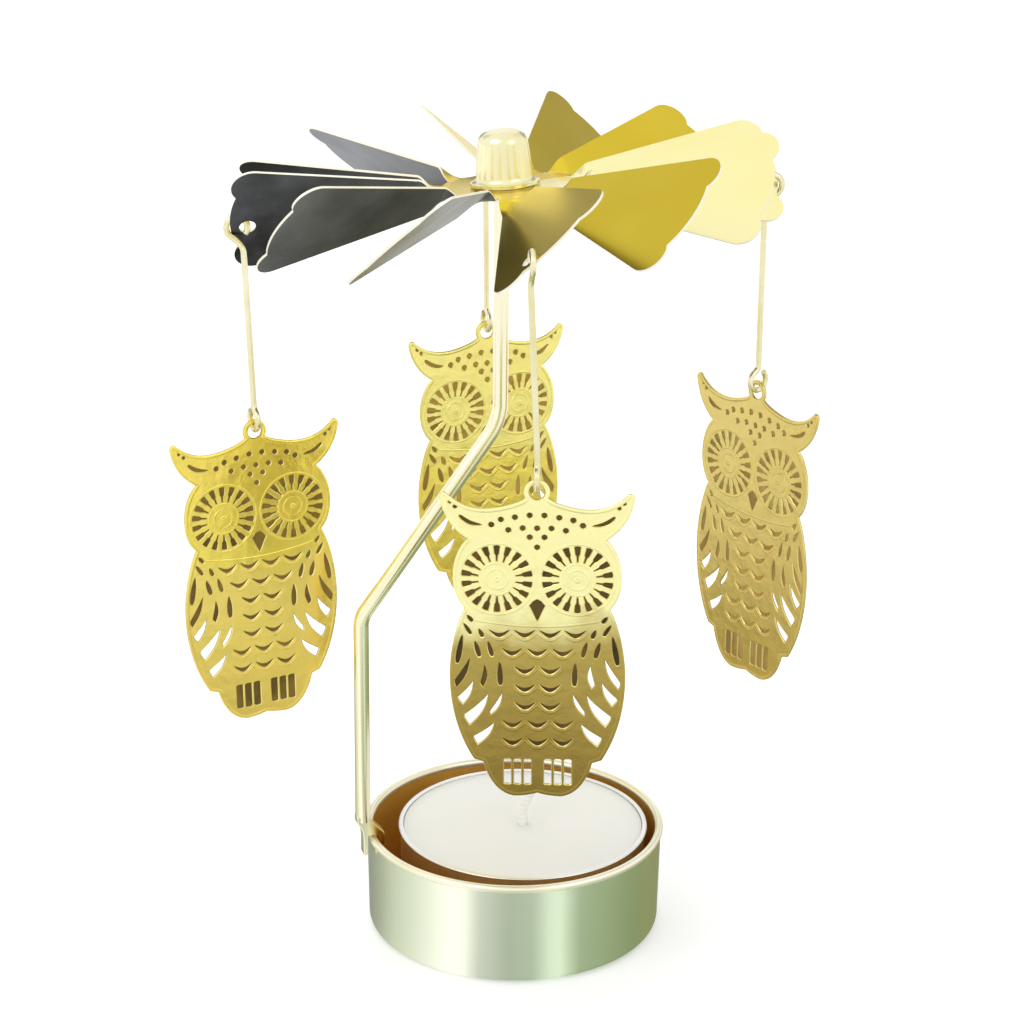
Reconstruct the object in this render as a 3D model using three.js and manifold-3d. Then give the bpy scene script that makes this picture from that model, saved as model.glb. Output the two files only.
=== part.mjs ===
// Rotating tealight candle holder: a drawn cup, a bent pole with a needle on top, and a twelve-blade
// rotor that carries four pierced owl charms on wire hangers.
// Millimetres, +Z up. The origin is the centre of the cup's resting face. The pole stands towards -X.
import * as THREE from 'three';
import { mergeVertices } from 'three/addons/utils/BufferGeometryUtils.js';
import Module from 'manifold-3d';

const wasm = await Module();
wasm.setup();

// Fits
const clearance = 0.3;            // between neighbouring pieces
const pressGap = 0.12;            // round a pin pushed into its bore

// Base cup
const cupRadius = 23;             // outside of the rolled rim
const cupHeight = 16.4;
const cupWall = 0.6;
const cupCorner = 1.5;            // outside bend between wall and floor
const cupDraft = 0.25;            // how much narrower the wall is at the floor
const rimBead = 1.2;              // thickness of the rolled rim
const cupSides = 48;

// Tealight
const tealightPlay = 2.6;         // free room round it in the cup
const tealightShift = 1.4;        // it stands off centre by this much, away from the pole
const tealightDrop = 0.7;         // its lip lies this far under the cup's rim
const foilWall = 0.35;
const foilLip = 0.4;              // outward curl of the foil's edge
const foilCorner = 1.2;           // bend between its wall and floor
const waxDrop = 0.5;              // wax surface under the foil's lip
const meniscus = 0.25;            // wax drawn up at the foil and down round the wick
const meniscusReach = 1.2;
const sustainerRadius = 6.5;
const sustainerSheet = 0.4;
const collarRadius = 1.5;
const collarHeight = 2.4;
const wickRadius = 0.75;
const wickStand = 5.4;            // wick above the wax
const wickLean = 1.3;             // sideways reach of its bent tip
const foilSides = 40;
const waxSides = 32;
const smallSides = 24;            // round parts under 20 mm across
const wickSides = 8;

// Pole
const poleRadius = 1.15;
const poleBore = 0.7;             // radius of the tube's bore
const poleStandOff = 0.9;         // centre line outside the cup's rim
const lowerKneeHeight = 52.3;
const upperKneeHeight = 81.6;
const lowerKneeRadius = 4;
const upperKneeRadius = 9;
const spindleOffset = 2.75;       // spindle from the cup's axis, towards the foot
const tine = 0.75;                // thickness of the two tines that grip the rim
const tineWidth = 2;
const outerTineDrop = 3;
const innerTineDrop = 1.5;
const forkRise = 3.6;             // from the rim up to the round tube
const forkGrip = 1;               // tube's end inside the fork
const poleSides = 12;
const boreSides = 8;

// Needle and hub
const needleTipHeight = 123.3;
const needleLength = 9;
const needleShow = 3.4;           // needle above the pole's end
const needlePoint = 1.6;          // length of its cone
const needleTipRadius = 0.08;
const hubRadius = 4.1;            // where the cap passes through the rotor's sheet
const hubTaper = 0.45;            // how much narrower its side is at the shoulder
const hubWall = 0.5;
const hubHeight = 8.1;            // above the rotor's sheet
const hubCrown = 1.9;             // radius of the cap's shoulder
const hubFlare = 0.9;             // flange beyond the cap's side
const hubLip = 1;                 // turned-out edge under the sheet
const flangeEdge = 0.35;          // thickness at the flange's edge
const bearingDepth = 2;
const dimpleRadius = 1.2;
const dimpleDepth = 1.6;

// Rotor
const bladeCount = 12;
const sheet = 0.4;
const bladeReach = 39.5;          // spindle to the middle lobe's crest
const cornerLobe = 2.85;          // radius of the two corner lobes
const cornerDip = 0.4;            // corner lobes' crests inside the middle one's
const notchInset = 1.76;          // notch from the corner lobe's centre, across the blade
const discRadius = 9.6;
const neckLength = 3;             // the twist happens here
const neckSteps = 5;
const slit = 0.5;                 // between neighbouring necks
const rootLap = 1;                // necks run this far into the disc
const bladeTwist = 41;            // degrees

// Blades bent by hand away from the rest, in degrees: extra twist, droop and a swing to the high side
const bentBlades = [
  { blade: 0, twist: -2, droop: 2.2, swing: 0 },
  { blade: 1, twist: -1, droop: 1.4, swing: 0 },
  { blade: 2, twist: 6, droop: -1, swing: 0 },
  { blade: 3, twist: 2, droop: -0.5, swing: 0 },
  { blade: 5, twist: -1, droop: 2.6, swing: 0 },
  { blade: 6, twist: 12, droop: 2.9, swing: 0 },
  { blade: 7, twist: 2, droop: 0, swing: -1.8 },
  { blade: 8, twist: -4, droop: 0.3, swing: -1.8 },
  { blade: 9, twist: -2, droop: 2.2, swing: 0 },
];

// Balance
const rotorPhase = -6.2;          // degrees, blade 0 from +X
const rotorLean = 5.3;            // degrees, how far the balanced rotor dips
const leanAzimuth = 127.5;        // degrees, the side that dips

// Hangers
const wireRadius = 0.45;
const hangerHole = 1.2;           // radius of the hole in a blade
const hangerEdge = 2.4;           // hole centre in from the blade's edge
const hookRadius = 1.5;
const hookStart = -48;            // degrees round the hook, leg side
const hookEnd = 218;              // degrees, curled tip
const hookLead = 3.7;             // straight leg ends this far under the hook's centre
const eyeRadius = 1.5;
const eyeStart = 60;              // degrees round the eye
const eyeEnd = -228;
const eyeLead = 2.8;              // straight leg ends this far over the eye's centre
const legInset = 0.9;             // straight wire inside the hook's centre
const leadPull = 1.2;             // how stiffly the leg runs into its bends
const wireSides = 7;

// Owl charm; drops are measured down from the ring's centre
const charmSheet = 0.55;
const ringRadius = 1.8;
const ringHole = 1.05;
const crownHalf = 5;              // the crown falls gently to here, then dips towards the ear
const crownDrop = 2.2;
const earHalf = 13.2;             // half span of the ear tips
const earDrop = 0.1;
const earTip = 0.8;               // rounding of the ear's tip
const templeHalf = 9.5;           // notch under the ear
const templeDrop = 6.8;
const cheek = 2.4;                // swell of the head between the notches
const waistHalf = 9.95;
const waistDrop = 16.9;
const bodyHalf = 12.1;
const bodyDrop = 27;
const flankCurve = 4;             // pull of the sides' curve above and below the widest point
const wingHalf = 8.9;
const wingDrop = 39.5;
const shinStep = 1.3;             // body narrows by this under the wing tip
const footHalf = 3.3;
const footLength = 5.6;           // from the wing tips down
const footSplit = 0.5;            // height of the notch between the feet
const eyeHalf = 5.5;
const eyeDrop = 12.6;
const eyeInner = 2.6;             // radii of the slots round each eye
const eyeOuter = 4.8;
const eyeSlots = 12;
const beakHalf = 1.05;
const beakLength = 3;
const beakShoulder = 0.85;        // widest this far under the beak's top
const toeCount = 3;
const toeCentre = 2.8;            // middle toe slot from the centre line
const toePitch = 1.4;
const toeSlot = 1;
const toeLength = 3.7;
const breastCounts = [4, 3, 2, 2, 2, 3, 3];   // slots in each row, from the top
const breastPitch = 3.45;
const breastHalf = 1.3;           // half width of a breast slot
const breastSag = 0.85;
const breastSlot = 0.6;           // widest opening of a breast slot

// Wing slots of one side: where each starts and ends, and its width. Places are shares: across from
// the centre line to the body's widest point, and down from the waist to the wing tip
const wingSlots = [
  { from: [0.77, 0.05], to: [0.74, 0.12], width: 0.5 },
  { from: [0.83, 0.16], to: [0.88, 0.33], width: 0.9 },
  { from: [0.7, 0.21], to: [0.68, 0.32], width: 0.6 },
  { from: [0.51, 0.22], to: [0.51, 0.31], width: 0.6 },
  { from: [0.6, 0.35], to: [0.6, 0.5], width: 0.9 },
  { from: [0.43, 0.36], to: [0.42, 0.5], width: 0.85 },
  { from: [0.765, 0.34], to: [0.925, 0.515], width: 1 },
  { from: [0.71, 0.44], to: [0.87, 0.625], width: 1.15 },
  { from: [0.57, 0.55], to: [0.79, 0.775], width: 1.35 },
  { from: [0.4, 0.565], to: [0.535, 0.7], width: 0.8 },
  { from: [0.505, 0.775], to: [0.71, 0.91], width: 1.25 },
];

// Drop of each hanger, from its hook's centre to the charm's ring
const frontDrop = 32.2;
const rightDrop = 31.5;
const backDrop = 28.2;
const leftDrop = 30.8;

// Each hanger: its blade, its hole's distance from the blade's centre line on the low side, its drop,
// how far the bent leg brings the ring outward and along, the way its charm faces, in degrees from
// outward, and the charm's tilt on its ring in degrees
const hangers = [
  { place: 'front', blade: 9, side: 3.4, drop: frontDrop, lean: [-0.5, 1.2], facing: -9, tilt: 0.8 },
  { place: 'right', blade: 0, side: 2.9, drop: rightDrop, lean: [0.2, 0.9], facing: -147, tilt: 0 },
  { place: 'back', blade: 3, side: 3.6, drop: backDrop, lean: [0.7, -0.3], facing: -162, tilt: 1.2 },
  { place: 'left', blade: 6, side: 1.2, drop: leftDrop, lean: [-1, -1.2], facing: 108, tilt: 1.3 },
];

const degree = Math.PI / 180;

// Material for one mesh
function finish(color, roughness, metalness) {
  return new THREE.MeshStandardMaterial({ color, roughness, metalness });
}

const group = new THREE.Group();

function place(parent, name, geometry, material) {
  const mesh = new THREE.Mesh(geometry, material);
  mesh.name = name;
  parent.add(mesh);
  return mesh;
}

// Conversions between a three.js geometry and a solid that can be joined
function toSolid(geometry) {
  const bare = geometry.clone();
  bare.deleteAttribute('normal');
  bare.deleteAttribute('uv');
  const merged = mergeVertices(bare, 1e-5);
  return new wasm.Manifold(new wasm.Mesh({
    numProp: 3,
    vertProperties: new Float32Array(merged.attributes.position.array),
    triVerts: new Uint32Array(merged.index.array),
  }));
}

function toGeometry(solid) {
  const mesh = solid.getMesh();
  const geometry = new THREE.BufferGeometry();
  geometry.setAttribute('position', new THREE.BufferAttribute(new Float32Array(mesh.vertProperties), 3));
  geometry.setIndex(new THREE.BufferAttribute(new Uint32Array(mesh.triVerts), 1));
  geometry.computeVertexNormals();
  return geometry;
}

// Points on an arc, angles in degrees, both ends included
function arc(x, y, radius, from, to, steps) {
  const points = [];
  for (let i = 0; i <= steps; i += 1) {
    const angle = (from + (to - from) * i / steps) * degree;
    points.push(new THREE.Vector2(x + radius * Math.cos(angle), y + radius * Math.sin(angle)));
  }
  return points;
}

function circle(x, y, radius, sides) {
  return arc(x, y, radius, 0, 360, sides).slice(0, sides);
}

function at(x, y) {
  return new THREE.Vector2(x, y);
}

// A profile of radius and height, turned about the Z axis
function turned(profile, sides) {
  const geometry = new THREE.LatheGeometry(profile, sides);
  geometry.rotateX(Math.PI / 2);
  return geometry;
}

// A path with one step between neighbouring stations, so that a straight run takes only two
class StationPath extends THREE.Curve {
  constructor(stations) {
    super();
    this.stations = stations;
  }

  getPoint(t) {
    return this.stations[Math.round(t * (this.stations.length - 1))].clone();
  }

  getPointAt(u) {
    return this.getPoint(u);
  }

  getTangent(t) {
    const last = this.stations.length - 1;
    const i = Math.round(t * last);
    const here = this.stations[i];
    const back = here.clone().sub(this.stations[Math.max(i - 1, 0)]).normalize();
    const ahead = this.stations[Math.min(i + 1, last)].clone().sub(here).normalize();
    return back.add(ahead).normalize();
  }

  getTangentAt(u) {
    return this.getTangent(u);
  }
}

function swept(stations, section) {
  return new THREE.ExtrudeGeometry(section, {
    steps: stations.length - 1,
    extrudePath: new StationPath(stations),
    bevelEnabled: false,
  });
}

function roundWire(stations, radius, sides) {
  return swept(stations, new THREE.Shape(circle(0, 0, radius, sides)));
}

// Base cup
const wallRadius = cupRadius - (rimBead - cupWall) / 2;
const floorRadius = wallRadius - cupDraft;
const beadCentre = at(wallRadius - cupWall / 2, cupHeight - rimBead / 2);
const beadTurn = Math.acos(cupWall / rimBead) / degree;
const innerCorner = cupCorner - cupWall;
const cupGeometry = turned([
  at(0, 0),
  ...arc(floorRadius - cupCorner, cupCorner, cupCorner, -90, 0, 4),
  ...arc(beadCentre.x, beadCentre.y, rimBead / 2, -beadTurn, 180 + beadTurn, 8),
  ...arc(floorRadius - cupCorner, cupCorner, innerCorner, 0, -90, 3),
  at(0, cupWall),
], cupSides);
place(group, 'base_cup', cupGeometry, finish(0xc9cfa4, 0.32, 1));

// Tealight: foil, wax, wick and sustainer share one place in the cup
const roomRadius = floorRadius - cupWall;
const foilRadius = roomRadius - tealightPlay - foilLip;
const foilBase = cupWall + clearance;
const foilTop = cupHeight - tealightDrop;
const tealight = new THREE.Group();
tealight.position.set(tealightShift, 0, 0);
group.add(tealight);

const lipRadius = foilLip / 2;
const foilGeometry = turned([
  at(0, foilBase),
  ...arc(foilRadius - foilCorner, foilBase + foilCorner, foilCorner, -90, 0, 3),
  at(foilRadius, foilTop - 2 * lipRadius),
  ...arc(foilRadius + lipRadius, foilTop - lipRadius, lipRadius, -45, 90, 3),
  at(foilRadius - foilWall, foilTop),
  ...arc(foilRadius - foilCorner, foilBase + foilCorner, foilCorner - foilWall, 0, -90, 3),
  at(0, foilBase + foilWall),
], foilSides);
place(tealight, 'tealight_cup', foilGeometry, finish(0xe9e9e4, 0.35, 1));

const sustainerBase = foilBase + foilWall + clearance;
const sustainerTop = sustainerBase + sustainerSheet;
const collarTop = sustainerTop + collarHeight;
const collarBore = wickRadius + clearance;
const sustainerGeometry = turned([
  at(collarBore, sustainerBase),
  at(sustainerRadius, sustainerBase),
  at(sustainerRadius, sustainerTop),
  at(collarRadius + sustainerSheet, sustainerTop),
  at(collarRadius, collarTop),
  at(collarBore, collarTop),
  at(collarBore, sustainerBase),
], smallSides);
place(tealight, 'wick_sustainer', sustainerGeometry, finish(0xbfc2c4, 0.4, 1));

const waxRadius = foilRadius - foilWall - clearance;
const waxTop = foilTop - waxDrop;
const waxCorner = foilCorner - foilWall - clearance;
const recessRadius = sustainerRadius + clearance;
const recessTop = sustainerTop + clearance;
const collarRoom = collarRadius + sustainerSheet + clearance;
const waxGeometry = turned([
  at(recessRadius, sustainerBase),
  ...arc(waxRadius - waxCorner, sustainerBase + waxCorner, waxCorner, -90, 0, 3),
  at(waxRadius, waxTop + meniscus),
  at(waxRadius - meniscusReach, waxTop),
  at(collarRoom, waxTop - meniscus),
  at(collarBore, waxTop),
  at(collarBore, collarTop + clearance),
  at(collarRoom, collarTop + clearance),
  at(collarRoom, recessTop),
  at(recessRadius, recessTop),
  at(recessRadius, sustainerBase),
], waxSides);
place(tealight, 'tealight_wax', waxGeometry, finish(0xf6f4ee, 0.6, 0));

const wickTop = waxTop + wickStand;
const wickBend = waxTop + wickStand / 3;
const wickStations = [new THREE.Vector3(0, 0, sustainerBase), new THREE.Vector3(0, 0, waxTop)];
for (let i = 0; i <= 4; i += 1) {
  const rise = i / 4;
  wickStations.push(new THREE.Vector3(wickLean * rise * rise, 0, wickBend + (wickTop - wickBend) * rise));
}
place(tealight, 'wick', roundWire(wickStations, wickRadius, wickSides), finish(0xf0ede4, 0.9, 0));

// Pole: a bent tube from the rim to the spindle, joined to the fork that straddles the rim
const footX = -(cupRadius + poleStandOff);
const spindleX = -spindleOffset;
const poleTop = needleTipHeight - needleShow;

// The arc of a bend of the given radius between two straight runs in the XZ plane
function bend(before, corner, after, radius, steps) {
  const inward = before.clone().sub(corner).normalize();
  const outward = after.clone().sub(corner).normalize();
  const half = inward.angleTo(outward) / 2;
  const centre = inward.clone().add(outward).normalize().multiplyScalar(radius / Math.sin(half)).add(corner);
  const start = inward.multiplyScalar(radius / Math.tan(half)).add(corner).sub(centre);
  const end = outward.multiplyScalar(radius / Math.tan(half)).add(corner).sub(centre);
  const points = [];
  for (let i = 0; i <= steps; i += 1) {
    const mix = start.clone().lerp(end, i / steps).normalize();
    points.push(mix.multiplyScalar(radius).add(centre));
  }
  return points;
}

const poleFoot = new THREE.Vector3(footX, 0, cupHeight + forkRise - forkGrip);
const lowerKnee = new THREE.Vector3(footX, 0, lowerKneeHeight);
const upperKnee = new THREE.Vector3(spindleX, 0, upperKneeHeight);
const poleHead = new THREE.Vector3(spindleX, 0, poleTop);
const tubeSection = new THREE.Shape(circle(0, 0, poleRadius, poleSides));
tubeSection.holes.push(new THREE.Path(circle(0, 0, poleBore, boreSides)));
const tubeGeometry = swept([
  poleFoot,
  ...bend(poleFoot, lowerKnee, upperKnee, lowerKneeRadius, 4),
  ...bend(lowerKnee, upperKnee, poleHead, upperKneeRadius, 6),
  poleHead,
], tubeSection);

// The fork in side view: x is the distance from the cup's axis, y the height
const outerFace = cupRadius + clearance;
const innerFace = cupRadius - rimBead - clearance;
const forkTop = cupHeight + forkRise;
const saddle = cupHeight + clearance;
const tubeFlat = poleRadius * 0.85;   // fork's top, just inside the tube's skin
const tubeOuter = -footX + tubeFlat;
const tubeInner = -footX - tubeFlat;
const forkOutline = new THREE.Shape([
  at(outerFace, cupHeight - outerTineDrop),
  at(outerFace + tine, cupHeight - outerTineDrop),
  at(outerFace + tine, saddle),
  at(tubeOuter, forkTop - forkGrip),
  at(tubeOuter, forkTop),
  at(tubeInner, forkTop),
  at(tubeInner, forkTop - forkGrip),
  at(innerFace - tine, saddle),
  at(innerFace - tine, cupHeight - innerTineDrop),
  at(innerFace, cupHeight - innerTineDrop),
  at(innerFace, saddle),
  at(outerFace, saddle),
]);
const forkGeometry = new THREE.ExtrudeGeometry(forkOutline, { depth: tineWidth, bevelEnabled: false });
forkGeometry.translate(0, 0, -tineWidth / 2);
forkGeometry.rotateX(Math.PI / 2);
forkGeometry.rotateZ(Math.PI);
const poleGeometry = toGeometry(toSolid(tubeGeometry).add(toSolid(forkGeometry)));
place(group, 'pole', poleGeometry, finish(0xe6e3bd, 0.22, 1));

// Needle, pushed into the pole's end
const needleRadius = poleBore * Math.cos(Math.PI / boreSides) - pressGap;
const needleGeometry = turned([
  at(0, needleTipHeight - needleLength),
  at(needleRadius, needleTipHeight - needleLength),
  at(needleRadius, needleTipHeight - needlePoint),
  at(needleTipRadius, needleTipHeight),
  at(0, needleTipHeight),
], poleSides);
const needle = place(group, 'pivot_needle', needleGeometry, finish(0xb9bcc0, 0.2, 1));
needle.position.set(spindleX, 0, 0);

// Rotor frame: its origin is the needle's tip, and it leans towards one side
const bearingTop = hubHeight - hubWall - clearance;
const dimpleTop = bearingTop - bearingDepth + dimpleDepth;
const rotorDrop = dimpleTop - clearance;
const spinFrame = new THREE.Group();
spinFrame.position.set(spindleX, 0, needleTipHeight);
const leanAxis = new THREE.Vector3(-Math.sin(leanAzimuth * degree), Math.cos(leanAzimuth * degree), 0);
spinFrame.quaternion.setFromAxisAngle(leanAxis, rotorLean * degree);
group.add(spinFrame);
const sheetFrame = new THREE.Group();
sheetFrame.position.set(0, 0, -rotorDrop);
sheetFrame.rotation.z = rotorPhase * degree;
spinFrame.add(sheetFrame);

// A sheet part: flat points, their triangles, and the loops that bound them
function thickSheet(points, triangles, loops, thickness) {
  const count = points.length;
  const positions = [];
  for (const z of [thickness / 2, -thickness / 2]) {
    for (const point of points) {
      positions.push(point.x, point.y, z);
    }
  }
  const index = [];
  for (const [a, b, c] of triangles) {
    index.push(a, b, c);
    index.push(a + count, c + count, b + count);
  }
  for (const loop of loops) {
    loop.forEach((a, i) => {
      const b = loop[(i + 1) % loop.length];
      index.push(a, a + count, b, b, a + count, b + count);
    });
  }
  const geometry = new THREE.BufferGeometry();
  geometry.setAttribute('position', new THREE.Float32BufferAttribute(positions, 3));
  geometry.setIndex(index);
  return geometry;
}

// Blade outline: x outward, y across. Two corner lobes and a wide middle lobe, from low side to high
const halfSector = Math.PI / bladeCount;
const neckEnd = discRadius + neckLength;
const cornerX = bladeReach - cornerDip - cornerLobe;
const cornerY = cornerX * Math.tan(halfSector) - cornerLobe / Math.cos(halfSector);
const lobeNotch = cornerY - notchInset;
const notchX = cornerX + Math.sqrt(cornerLobe ** 2 - notchInset ** 2);
const crest = bladeReach - notchX;
const middleRadius = (lobeNotch ** 2 + crest ** 2) / (2 * crest);
const middleSweep = Math.asin(lobeNotch / middleRadius) / degree;
const notchAngle = Math.asin(notchInset / cornerLobe) / degree;
const sideAngle = 90 + halfSector / degree;

function neckHalf(x) {
  return x * Math.tan(halfSector) - slit / 2;
}

function bladeOutline() {
  return [
    at(neckEnd, -neckHalf(neckEnd)),
    ...arc(cornerX, -cornerY, cornerLobe, -sideAngle, notchAngle, 6),
    ...arc(bladeReach - middleRadius, 0, middleRadius, -middleSweep, middleSweep, 6).slice(1, -1),
    ...arc(cornerX, cornerY, cornerLobe, -notchAngle, sideAngle, 6),
    at(neckEnd, neckHalf(neckEnd)),
  ];
}

// A hanger's hole lies near the edge of the middle lobe, on the low side
function holeX(side) {
  return bladeReach - middleRadius + Math.sqrt(middleRadius ** 2 - side ** 2) - hangerEdge;
}

// Where a point of the flat blade goes when the blade is bent
function bent(bend, point) {
  const reach = THREE.MathUtils.smoothstep(point.x, discRadius, neckEnd);
  const twist = (bladeTwist + bend.twist) * degree * reach;
  const past = Math.max(point.x - discRadius, 0);
  return new THREE.Vector3(
    point.x,
    point.y * Math.cos(twist) - point.z * Math.sin(twist) + past * Math.tan(bend.swing * degree),
    point.y * Math.sin(twist) + point.z * Math.cos(twist) - past * Math.tan(bend.droop * degree),
  );
}

function bendOf(blade) {
  return bentBlades.find((bend) => bend.blade === blade) ?? { twist: 0, droop: 0, swing: 0 };
}

function bladeGeometry(blade) {
  const outline = bladeOutline();
  const hanger = hangers.find((candidate) => candidate.blade === blade);
  const holes = hanger ? [circle(holeX(hanger.side), -hanger.side, hangerHole, 10).reverse()] : [];
  const stations = [discRadius - rootLap];
  for (let i = 0; i < neckSteps; i += 1) {
    stations.push(discRadius + neckLength * i / neckSteps);
  }
  const lowSide = stations.map((x) => at(x, -neckHalf(x)));
  const highSide = stations.map((x) => at(x, neckHalf(x))).reverse();
  const triangles = THREE.ShapeUtils.triangulateShape(outline, holes).map((face) => {
    return face.map((i) => (i < outline.length ? i + lowSide.length : i + 2 * lowSide.length));
  });
  const edge = [...lowSide, ...outline, ...highSide];
  for (let i = 0; i < lowSide.length; i += 1) {
    const opposite = edge.length - 1 - i;
    triangles.push([i, i + 1, opposite], [i + 1, opposite - 1, opposite]);
  }
  const loops = [edge.map((_, i) => i)];
  for (const hole of holes) {
    loops.push(hole.map((_, i) => edge.length + i));
  }
  const geometry = thickSheet([...edge, ...holes.flat()], triangles, loops, sheet);
  const position = geometry.attributes.position;
  const bend = bendOf(blade);
  for (let i = 0; i < position.count; i += 1) {
    const { x, y, z } = bent(bend, new THREE.Vector3().fromBufferAttribute(position, i));
    position.setXYZ(i, x, y, z);
  }
  return geometry;
}

const hubHole = hubRadius + clearance;
const discShape = new THREE.Shape(circle(0, 0, discRadius, cupSides));
discShape.holes.push(new THREE.Path(circle(0, 0, hubHole, smallSides)));
const discGeometry = new THREE.ExtrudeGeometry(discShape, { depth: sheet, bevelEnabled: false });
discGeometry.translate(0, 0, -sheet / 2);
let rotorSolid = toSolid(discGeometry);
for (let i = 0; i < bladeCount; i += 1) {
  const blade = bladeGeometry(i);
  blade.rotateZ(i * 2 * halfSector);
  rotorSolid = rotorSolid.add(toSolid(blade));
}
place(sheetFrame, 'rotor', toGeometry(rotorSolid), finish(0xdcc75a, 0.2, 1));

// Hub cap: a domed cap whose skirt passes through the disc and is flared under it
const flangeBase = sheet / 2 + clearance;
const lipReach = hubRadius + hubLip;
const skirtInner = hubRadius - hubWall;
const crownInner = hubCrown - hubWall;
const shoulderRadius = hubRadius - hubTaper;
const hubGeometry = turned([
  at(0, hubHeight - hubWall),
  ...arc(shoulderRadius - hubCrown, hubHeight - hubCrown, crownInner, 90, 0, 4),
  at(skirtInner, -flangeBase - flangeEdge),
  at(lipReach, -flangeBase - flangeEdge),
  at(lipReach, -flangeBase),
  at(hubRadius, -flangeBase),
  at(hubRadius, flangeBase),
  at(hubRadius + hubFlare, flangeBase),
  ...arc(hubRadius + hubFlare, flangeBase + flangeEdge + hubFlare, hubFlare, 270, 180, 4),
  ...arc(shoulderRadius - hubCrown, hubHeight - hubCrown, hubCrown, 0, 90, 5),
  at(0, hubHeight),
], smallSides);
place(sheetFrame, 'hub_cap', hubGeometry, finish(0xf0e6a0, 0.15, 1));

// Bearing plug inside the cap, with a conical dimple that sits on the needle
const plugRadius = shoulderRadius - hubWall - clearance;
const plugShoulder = plugRadius - crownInner;
const bearingGeometry = turned([
  at(0, dimpleTop),
  at(dimpleRadius, bearingTop - bearingDepth),
  at(plugRadius, bearingTop - bearingDepth),
  ...arc(plugShoulder, bearingTop - crownInner, crownInner, 0, 90, 4),
  at(0, bearingTop),
], smallSides);
place(sheetFrame, 'bearing_plug', bearingGeometry, finish(0xd8d3c0, 0.3, 1));

// Hanger: a hook over the blade's edge and through its hole, a straight leg and a closed eye
const wireLift = ringHole - wireRadius - clearance;

function bezier(from, near, far, to, steps) {
  const curve = new THREE.CubicBezierCurve(from, near, far, to);
  return curve.getPoints(steps);
}

function hangerGeometry({ drop, lean, facing }) {
  const join = at(hookRadius * Math.cos(hookStart * degree), hookRadius * Math.sin(hookStart * degree));
  const aim = at(-Math.sin(hookStart * degree), Math.cos(hookStart * degree)).multiplyScalar(-1);
  const legTop = at(-legInset, -hookLead);
  const legEnd = at(0, eyeLead);
  const hook = [
    ...bezier(legTop, at(-legInset, -hookLead + leadPull), join.clone().add(aim), join, 5).slice(0, -1),
    ...arc(0, 0, hookRadius, hookStart, hookEnd, 11),
  ].reverse();
  const eyeCentre = -drop + wireLift + eyeRadius;
  const entry = at(eyeRadius * Math.cos(eyeStart * degree), eyeRadius * Math.sin(eyeStart * degree));
  const eye = [
    ...bezier(legEnd, at(0, eyeLead - leadPull / 2), at(0, entry.y + leadPull / 3), entry, 4).slice(0, -1),
    ...arc(0, 0, eyeRadius, eyeStart, eyeEnd, 11),
  ];
  const heading = facing * degree;
  const stations = hook.map((point) => new THREE.Vector3(point.x + legInset, 0, point.y));
  for (const point of eye) {
    const out = lean[0] + point.x * Math.cos(heading);
    const along = lean[1] + point.x * Math.sin(heading);
    stations.push(new THREE.Vector3(out, along, eyeCentre + point.y));
  }
  return roundWire(stations, wireRadius, wireSides);
}

// Owl outline, right half from the crown down to between the feet; y is negative downward
const footDrop = wingDrop + footLength;

function owlHalf() {
  const half = new THREE.Path();
  half.moveTo(0, ringRadius);
  half.absarc(0, 0, ringRadius, Math.PI / 2, -0.5, true);
  half.quadraticCurveTo(ringRadius * 1.2, -crownDrop * 0.7, crownHalf, -crownDrop);
  half.quadraticCurveTo(earHalf * 0.73, -crownDrop * 1.45, earHalf - earTip, -earDrop);
  half.quadraticCurveTo(earHalf, -earDrop, earHalf, -earDrop - earTip);
  half.quadraticCurveTo(earHalf * 0.95, -templeDrop * 0.7, templeHalf, -templeDrop);
  half.bezierCurveTo(
    templeHalf + cheek, -templeDrop - cheek,
    waistHalf + cheek, -waistDrop + cheek,
    waistHalf, -waistDrop,
  );
  half.bezierCurveTo(
    (waistHalf + bodyHalf) / 2, -waistDrop - flankCurve / 2,
    bodyHalf, -bodyDrop + flankCurve,
    bodyHalf, -bodyDrop,
  );
  half.bezierCurveTo(
    bodyHalf, -bodyDrop - flankCurve,
    wingHalf + cheek, -wingDrop + flankCurve,
    wingHalf, -wingDrop,
  );
  half.lineTo(wingHalf - shinStep, -wingDrop - shinStep / 3);
  half.quadraticCurveTo(wingHalf - 2 * shinStep, -footDrop + footSplit, footHalf, -footDrop);
  half.quadraticCurveTo(footHalf / 2, -footDrop, 0, -footDrop + footSplit);
  return half.getPoints(4);
}

function mirrored(points) {
  return points.map((point) => at(-point.x, point.y)).reverse();
}

// A teardrop slot that starts in a point and ends blunt
function slot(x1, y1, x2, y2, width) {
  const start = at(x1, y1);
  const end = at(x2, y2);
  const across = at(y1 - y2, x2 - x1).normalize().multiplyScalar(width / 2);
  const middle = start.clone().lerp(end, 0.6);
  return [
    start,
    middle.clone().sub(across),
    end.clone().addScaledVector(across, -0.6),
    end.clone().addScaledVector(across, 0.6),
    middle.clone().add(across),
  ];
}

// Slots round one eye, wedges that widen outward
function eyeHoles(side) {
  const holes = [];
  for (let i = 0; i < eyeSlots; i += 1) {
    const angle = (i + 0.5) * 2 * Math.PI / eyeSlots;
    const spread = 0.55 * Math.PI / eyeSlots;
    const ray = (radius, turn) => at(
      side * eyeHalf + radius * Math.cos(angle + turn),
      -eyeDrop + radius * Math.sin(angle + turn),
    );
    holes.push([ray(eyeInner, 0), ray(eyeOuter, spread), ray(eyeOuter, -spread)]);
  }
  return holes;
}

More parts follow.
